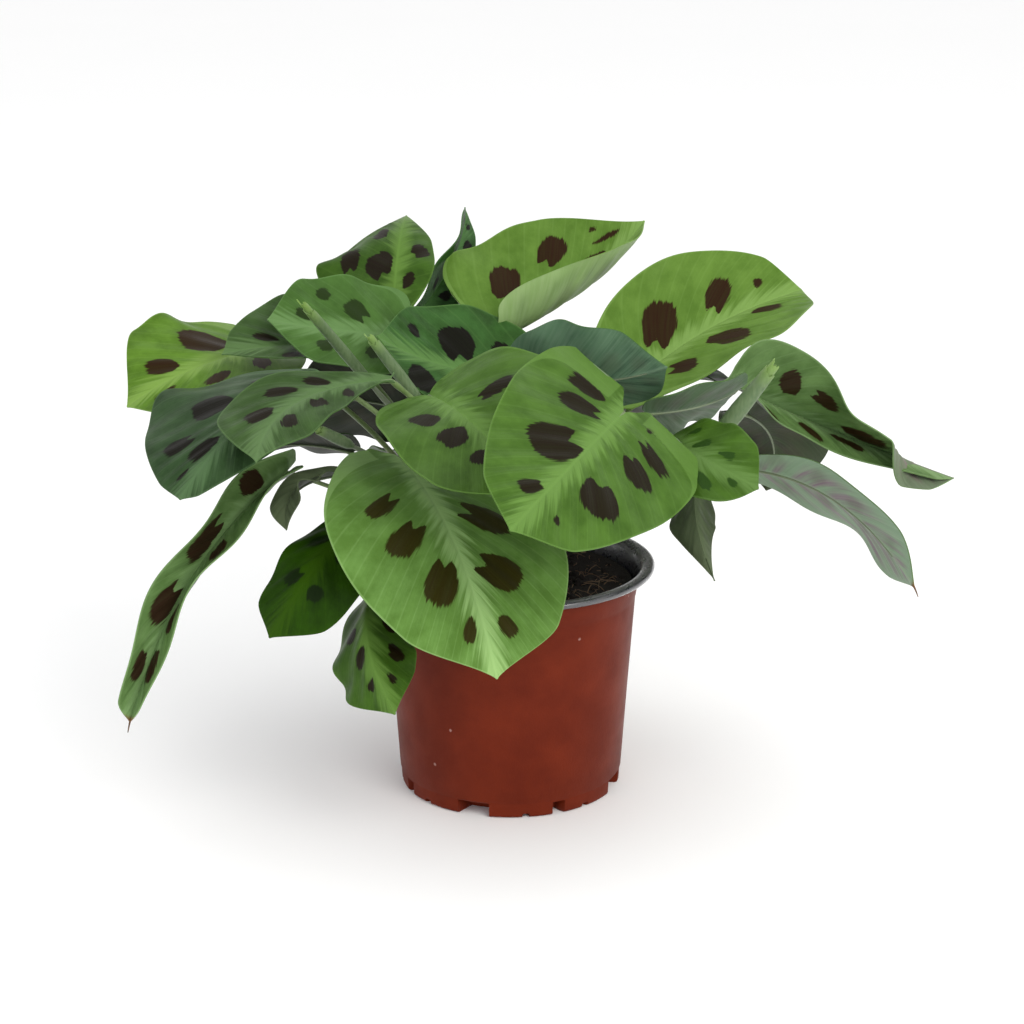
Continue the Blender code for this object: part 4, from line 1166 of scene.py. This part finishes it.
def pot_profile():
    """Radii and heights: up the outside, over the rolled rim, down the inside and over the floor."""
    outside = [(44.9, 0.0), (45.9, 0.45), (46.1, 0.9)]
    outside += [(46.15 + (BASE_RADIUS - 46.15) * z / FOOT_TOP, z) for z in NOTCH_ROWS]
    outside += [(46.9, 7.2), (49.3, 43.0), (STEP_RADIUS - 0.1, STEP_HEIGHT - 1.2),
                (STEP_RADIUS - 0.1, STEP_HEIGHT), (STEP_RADIUS + 0.25, STEP_HEIGHT + 0.7),
                (BODY_TOP_RADIUS - 0.2, 91.5), (BODY_TOP_RADIUS, 92.7)]
    rim = [(54.3, 93.1), (58.2, 93.5), (59.2, 93.8), (59.7, 94.3), (59.95, 94.9), (RIM_RADIUS, 95.4),
           (59.8, 95.9), (59.4, 96.35), (58.8, 96.6), (58.2, POT_HEIGHT), (57.2, 96.65), (56.0, 96.5),
           (54.9, 96.0), (54.2, 95.1), (53.5, 94.0)]
    inside = [(BODY_TOP_RADIUS - WALL, 92.5), (STEP_RADIUS - WALL, STEP_HEIGHT), (48.2, 43.0),
              (45.6, 8.2), (45.35, 7.6), (45.3, 7.4), (45.25, 7.15), (45.2, 7.0), (45.15, 6.85),
              (45.1, 6.0), (45.0, 3.0), (44.6, 1.7), (43.8, WALL), (FLOOR_RADIUS, WALL)]
    return outside + rim + inside


def notch_depth(angle, height, grow):
    """How far the thermoformed wall is pressed in at an angle from -Y and a height."""
    depth = np.zeros(len(angle))
    for first, width, deep, tall in NOTCHES:
        for quarter in range(4):
            away = (angle - first - 90 * quarter + 180) % 360 - 180
            beside = np.abs(np.radians(away)) * FOOT_RADIUS
            sides = 1 - smooth_step((beside - (width / 2 + grow) + NOTCH_SOFTNESS) / NOTCH_SOFTNESS)
            roof = 1 - smooth_step((height - tall - grow) / NOTCH_ROOF_SOFTNESS)
            depth = np.maximum(depth, (deep + grow) * sides * roof)
    return depth


def press_notches(pot):
    """Presses the notches into the wall; on its inner face they are larger by the wall's thickness."""
    points = vertex_places(pot) / MM
    height = points[:, 2]
    reach = np.hypot(points[:, 0], points[:, 1])
    angle = np.degrees(np.arctan2(points[:, 0], -points[:, 1]))
    # A point well within the wall's outer radius is on its inner face; the floor isn't pressed in
    outer_radius = np.interp(height, (0, FOOT_TOP, STEP_HEIGHT), (45.9, BASE_RADIUS, STEP_RADIUS))
    inner_face = (reach < outer_radius - INNER_FACE_DEPTH) & (height > INNER_SIDE_ABOVE)
    depth = np.where(inner_face, notch_depth(angle, height, WALL), notch_depth(angle, height, 0))
    depth[reach < FLOOR_UNPRESSED_WITHIN] = 0
    points[:, :2] *= np.where(reach > 1, (reach - depth) / np.maximum(reach, 1), 1)[:, None]
    move_vertices(pot, points)


def choose_layers(pot):
    """The black inner layer shows on the rim, the inner wall and the floor, the brown one outside."""
    for face in pot.data.polygons:
        x, y, z = face.center / MM
        reach = math.hypot(x, y)
        faces_in = face.normal.x * x + face.normal.y * y < 0
        on_rim = z > INNER_LAYER_SHOWS_ABOVE
        on_wall = faces_in and reach < STEP_RADIUS + 2 and z > INNER_WALL_STARTS
        on_floor = (INNER_SIDE_ABOVE < z < FLOOR_SHOWS_BELOW and face.normal.z > 0.5
                    and reach < FLOOR_SHOWS_WITHIN)
        face.material_index = 1 if on_rim or on_wall or on_floor else 0


def cut_drain_holes(pot):
    """Cuts a ring of round holes through the floor."""
    cutters = []
    for turn in range(DRAIN_HOLES):
        around = 2 * math.pi * turn / DRAIN_HOLES
        reach = DRAIN_HOLE_CIRCLE * MM
        deselect()
        bpy.ops.mesh.primitive_cylinder_add(
            vertices=DRAIN_HOLE_SIDES, radius=DRAIN_HOLE_RADIUS * MM, depth=DRAIN_CUTTER_HEIGHT * MM,
            location=(reach * math.cos(around), reach * math.sin(around), 0))
        cutters.append(take_up("drain hole cutter"))
    cutter = join_pieces(*cutters)
    apply_modifier(pot, "BOOLEAN", operation="DIFFERENCE", object=cutter)
    bpy.data.objects.remove(cutter)


def make_pot(settings):
    """A disc extruded and resized along the pot's profile, then pressed and cut."""
    deselect()
    bpy.ops.mesh.primitive_circle_add(vertices=POT_SIDES, radius=FLOOR_RADIUS * MM, fill_type="NGON",
                                      location=(0, 0, 0))
    pot = take_up("pot")
    with editing(pot):
        extrude_profile(pot_profile(), FLOOR_RADIUS, 0.0)
        face_outwards()
    press_notches(pot)
    pot.data.materials.append(pot_outside_material(settings))
    pot.data.materials.append(pot_inside_material(settings))
    choose_layers(pot)
    cut_drain_holes(pot)
    shade(pot, 32)
    hand_over(pot, "pot")


def peat_surface(x, y):
    """Height of the peat at a place, all in millimetres."""
    base = np.interp(np.hypot(x, y), (0, 24, 39, 48, 52), (PEAT_MIDDLE_HEIGHT, 87.9, 87.1, 86.1, 85.0))
    lumps = (np.sin(0.31 * x + 1.0) * np.cos(0.27 * y) + 0.6 * np.sin(0.53 * y + 0.41 * x)
             + 0.5 * np.sin(1.1 * x + 0.7) * np.sin(0.9 * y + 2.0) + 0.35 * np.sin(1.9 * y + 1.3 * x))
    return base + PEAT_LUMPS * lumps


def peat_crumbs(settings, random):
    """Crumbs: grains of many sizes, turns and shapes, spread over the surface as one mesh."""
    deselect()
    bpy.ops.mesh.primitive_ico_sphere_add(subdivisions=1, radius=1.0, location=(0, 0, 0))
    grain = take_up("grain")
    shape = vertex_places(grain)
    grain_faces = np.array([face.vertices[:] for face in grain.data.polygons])
    bpy.data.objects.remove(grain)
    points = []
    faces = []
    for number in range(settings.crumbs):
        reach = LOOSE_REACH * math.sqrt(random.uniform())
        around = random.uniform(0, 2 * math.pi)
        x, y = reach * math.cos(around), reach * math.sin(around)
        size = random.uniform(0.35, 1.0) ** 2 * CRUMB_RADIUS
        stretch = random.uniform(0.55, 1.2, 3) * size
        turn, _ = np.linalg.qr(random.normal(size=(3, 3)))
        knobbly = shape * random.uniform(0.7, 1.2, (len(shape), 1))
        points.append((knobbly * stretch) @ turn + (x, y, peat_surface(x, y) + size * 0.25))
        faces.append(grain_faces + number * len(shape))
    return loose_bodies("crumbs", np.concatenate(points), np.concatenate(faces).tolist())


def fibre_path(random, rings):
    """Path and radius of a thread that starts anywhere on the peat, bends and arches over the crumbs."""
    reach = FIBRE_REACH * math.sqrt(random.uniform())
    around = random.uniform(0, 2 * math.pi)
    place = np.array([reach * math.cos(around), reach * math.sin(around)])
    heading = random.uniform(0, 2 * math.pi)
    bend = random.uniform(-0.28, 0.28)
    length = random.uniform(4, 15)
    radius = random.uniform(0.10, 0.26)
    arch = random.uniform(0.2, 2.2)
    path = []
    for step in range(rings):
        lift = arch * math.sin(math.pi * step / (rings - 1)) + 0.35
        path.append(np.array([*place, peat_surface(*place) + lift]))
        heading += bend
        place = place + length / (rings - 1) * np.array([math.cos(heading), math.sin(heading)])
        place *= min(1.0, LOOSE_REACH / np.linalg.norm(place))
    return path, radius


def peat_fibres(settings, random):
    """Fibres: thin three-sided threads, as one mesh."""
    last = (FIBRE_RINGS - 1) * 3
    walls = [(ring + corner, ring + (corner + 1) % 3, ring + (corner + 1) % 3 + 3, ring + corner + 3)
             for ring in range(0, last, 3) for corner in range(3)]
    fibre_faces = walls + [(2, 1, 0), (last, last + 1, last + 2)]
    points = []
    faces = []
    for _ in range(settings.fibres):
        path, radius = fibre_path(random, FIBRE_RINGS)
        faces += [tuple(len(points) + corner for corner in face) for face in fibre_faces]
        for step, place in enumerate(path):
            ahead = path[min(step + 1, FIBRE_RINGS - 1)] - path[max(step - 1, 0)]
            side = unit(np.cross(ahead, UP))
            above = unit(np.cross(side, ahead))
            taper = radius * (1.0 - 0.6 * abs(step / (FIBRE_RINGS - 1) - 0.4))
            for turn in np.radians((0, 120, 240)):
                points.append(place + taper * (math.cos(turn) * side + math.sin(turn) * above))
    return loose_bodies("fibres", points, faces)


def make_peat(settings):
    """Peat that fills the pot: a closed body with a lumpy top, crumbs and fibres."""
    random = np.random.default_rng(PEAT_SEED)
    deselect()
    bpy.ops.mesh.primitive_circle_add(vertices=PEAT_SIDES, radius=PEAT_CENTRE_RADIUS * MM,
                                      fill_type="TRIFAN", location=(0, 0, PEAT_MIDDLE_HEIGHT * MM))
    peat = take_up("soil")
    rings = np.linspace(PEAT_CENTRE_RADIUS, PEAT_RADIUS, PEAT_RINGS + 1)[1:]
    top = [(radius, PEAT_MIDDLE_HEIGHT) for radius in rings]
    side = [(PEAT_RADIUS, 80.0), (47.8, 43.0), (44.6, 9.0), (34.0, 8.2), (33.0, 1.6)]
    with editing(peat):
        bpy.ops.mesh.select_mode(type="EDGE")
        bpy.ops.mesh.select_all(action="SELECT")
        bpy.ops.mesh.region_to_loop()
        extrude_profile(top + side, PEAT_CENTRE_RADIUS, PEAT_MIDDLE_HEIGHT)
        bpy.ops.mesh.edge_face_add()
        face_outwards()
    points = vertex_places(peat) / MM
    on_top = points[:, 2] > PEAT_MIDDLE_HEIGHT - 0.5
    jitter = random.uniform(-0.35, 0.35, len(points))
    points[on_top, 2] = peat_surface(points[on_top, 0], points[on_top, 1]) + jitter[on_top]
    move_vertices(peat, points)
    crumbs = peat_crumbs(settings, random)
    fibres = peat_fibres(settings, random)
    moist = peat_material(settings)
    for piece, finish in ((peat, moist), (crumbs, moist), (fibres, fibre_material())):
        piece.data.materials.append(finish)
    join_pieces(peat, crumbs, fibres)
    shade(peat, 60)
    hand_over(peat, "soil")


def add_light(name, place, aim, size, power, colour):
    """An area light of a width and height that faces a point."""
    deselect()
    bpy.ops.object.light_add(type="AREA", location=place)
    light = take_up(name)
    light.data.shape = "RECTANGLE"
    light.data.size, light.data.size_y = size
    light.data.energy = power
    light.data.color = to_linear(colour)[:3]
    away = np.array(place) - np.array(aim)
    light.rotation_euler = (math.atan2(math.hypot(away[0], away[1]), away[2]), 0,
                            math.atan2(away[0], -away[1]))


def make_stage(settings):
    """Pale floor, soft light from the front right, the front left, above and all round, and camera."""
    deselect()
    bpy.ops.mesh.primitive_plane_add(size=settings.floor_size, location=(0, 0, 0))
    floor = take_up("floor")
    floor.data.materials.append(floor_material(settings))

    for name, place, aim, size, colour, power in LIGHTS:
        add_light(name, place, aim, size, getattr(settings, power), colour)

    world = bpy.data.worlds.new("plain white room")
    world.use_nodes = True
    background = world.node_tree.nodes["Background"]
    background.inputs["Color"].default_value = (1, 1, 1, 1)
    background.inputs["Strength"].default_value = settings.room_strength
    bpy.context.scene.world = world
    bpy.context.scene.view_settings.view_transform = "Standard"

    deselect()
    bpy.ops.object.camera_add(location=CAMERA_PLACE, rotation=(math.radians(CAMERA_TILT), 0, 0))
    camera = take_up("camera")
    camera.data.sensor_width = CAMERA_SENSOR
    camera.data.lens = CAMERA_LENS
    bpy.context.scene.camera = camera


def colour_property(name, description, default):
    return bpy.props.StringProperty(name=name, description=description, default=default, maxlen=7)


def length_property(name, description, default):
    return bpy.props.FloatProperty(name=name, description=description, default=default * MM, min=0.0,
                                   unit="LENGTH", precision=4)


def power_property(name, description, default):
    return bpy.props.FloatProperty(name=name, description=description, default=default, min=0.0,
                                   unit="POWER")


def count_property(name, description, default):
    return bpy.props.IntProperty(name=name, description=description, default=default, min=0)


class LeafSettings(bpy.types.PropertyGroup):
    """Sizes and colours of the leaves."""
    thickness: length_property("Thickness", "Thickness of a blade", 0.55)
    rib_spacing: length_property("Rib spacing", "Distance between the side ribs along the midrib", 5.0)
    quilt_spacing: length_property("Quilt spacing", "Distance between a blade's shallow folds", 10.0)
    quilt_depth: length_property("Quilt depth", "Height of a blade's shallow folds", 0.28)
    groove_depth: length_property("Groove depth", "Depth of the groove over the midrib", 0.55)
    dry_hex: colour_property("Dried tip", "sRGB colour of a tip that has dried", "#6b4a2a")
    shadow_hex: colour_property("Blotch from below", "sRGB colour of a blotch from below", "#4a4438")


class PotSettings(bpy.types.PropertyGroup):
    """Colours of the pot."""
    outside_hex: colour_property("Outside", "sRGB colour of the outer layer", "#68230e")
    cloud_hex: colour_property("Clouding", "sRGB colour of the outer layer's darker clouds", "#5c1d0b")
    inside_hex: colour_property("Inside", "sRGB colour of the inner layer and the rim", "#23242b")


class PeatSettings(bpy.types.PropertyGroup):
    """Make-up of the peat."""
    crumbs: count_property("Crumbs", "How many crumbs lie on top", 900)
    fibres: count_property("Fibres", "How many fibres lie on top", 320)
    dark_hex: colour_property("Peat", "sRGB colour of the moist peat", "#0d0a08")
    crumb_hex: colour_property("Crumb", "sRGB colour of its lighter crumbs", "#211812")


class StageSettings(bpy.types.PropertyGroup):
    """Floor and light."""
    floor_hex: colour_property("Floor", "sRGB colour of the floor", "#fcfcfc")
    floor_size: length_property("Floor size", "Side of the square floor", 24000.0)
    key_power: power_property("Key light", "Power of the light at the front right", 17.5)
    strip_power: power_property("Strip light", "Power of the narrow light at the front left", 2.6)
    top_power: power_property("Top light", "Power of the light above", 2.2)
    room_strength: bpy.props.FloatProperty(name="Room", description="Brightness of the white room",
                                           default=0.99)


class PLANT_OT_make_pot(bpy.types.Operator):
    """Make the thermoformed nursery pot"""
    bl_idname = "prayer_plant.make_pot"
    bl_label = "Make Pot"

    def execute(self, context):
        make_pot(context.scene.prayer_plant_pot)
        return {"FINISHED"}


class PLANT_OT_make_peat(bpy.types.Operator):
    """Make the peat with its crumbs and fibres"""
    bl_idname = "prayer_plant.make_peat"
    bl_label = "Make Peat"

    def execute(self, context):
        make_peat(context.scene.prayer_plant_peat)
        return {"FINISHED"}


class PLANT_OT_make_leaves(bpy.types.Operator):
    """Make every open leaf with its stalk"""
    bl_idname = "prayer_plant.make_leaves"
    bl_label = "Make Leaves"

    def execute(self, context):
        for number, leaf in enumerate(LEAVES):
            make_leaf(leaf, context.scene.prayer_plant_leaves, number)
        return {"FINISHED"}


class PLANT_OT_make_new_leaves(bpy.types.Operator):
    """Make the new leaves that are still rolled up"""
    bl_idname = "prayer_plant.make_new_leaves"
    bl_label = "Make New Leaves"

    def execute(self, context):
        for leaf in ROLLED_LEAVES:
            make_roll(leaf, context.scene.prayer_plant_leaves)
        return {"FINISHED"}


class PLANT_OT_make_stage(bpy.types.Operator):
    """Make the floor, the lights and the camera"""
    bl_idname = "prayer_plant.make_stage"
    bl_label = "Make Stage"

    def execute(self, context):
        make_stage(context.scene.prayer_plant_stage)
        return {"FINISHED"}


class PLANT_PT_panel(bpy.types.Panel):
    """Lists the operators in the order that they run"""
    bl_idname = "PLANT_PT_panel"
    bl_label = "Prayer Plant"
    bl_space_type = "VIEW_3D"
    bl_region_type = "UI"
    bl_category = "Prayer Plant"

    def draw(self, context):
        for maker in OPERATORS:
            self.layout.operator(maker.bl_idname)
        for holder in SETTINGS:
            box = self.layout.box()
            group = getattr(context.scene, holder)
            for name in group.bl_rna.properties.keys():
                if name not in ("rna_type", "name"):
                    box.prop(group, name)


OPERATORS = (PLANT_OT_make_stage, PLANT_OT_make_pot, PLANT_OT_make_peat, PLANT_OT_make_leaves,
             PLANT_OT_make_new_leaves)
SETTINGS = {
    "prayer_plant_leaves": LeafSettings,
    "prayer_plant_pot": PotSettings,
    "prayer_plant_peat": PeatSettings,
    "prayer_plant_stage": StageSettings,
}


def register():
    for group in (*SETTINGS.values(), *OPERATORS, PLANT_PT_panel):
        bpy.utils.register_class(group)
    for holder, group in SETTINGS.items():
        setattr(bpy.types.Scene, holder, bpy.props.PointerProperty(type=group))


def unregister():
    for holder in SETTINGS:
        delattr(bpy.types.Scene, holder)
    for group in (PLANT_PT_panel, *OPERATORS, *SETTINGS.values()):
        bpy.utils.unregister_class(group)


def main():
    register()
    bpy.ops.prayer_plant.make_stage()
    bpy.ops.prayer_plant.make_pot()
    bpy.ops.prayer_plant.make_peat()
    bpy.ops.prayer_plant.make_leaves()
    bpy.ops.prayer_plant.make_new_leaves()


if __name__ == "__main__":
    main()
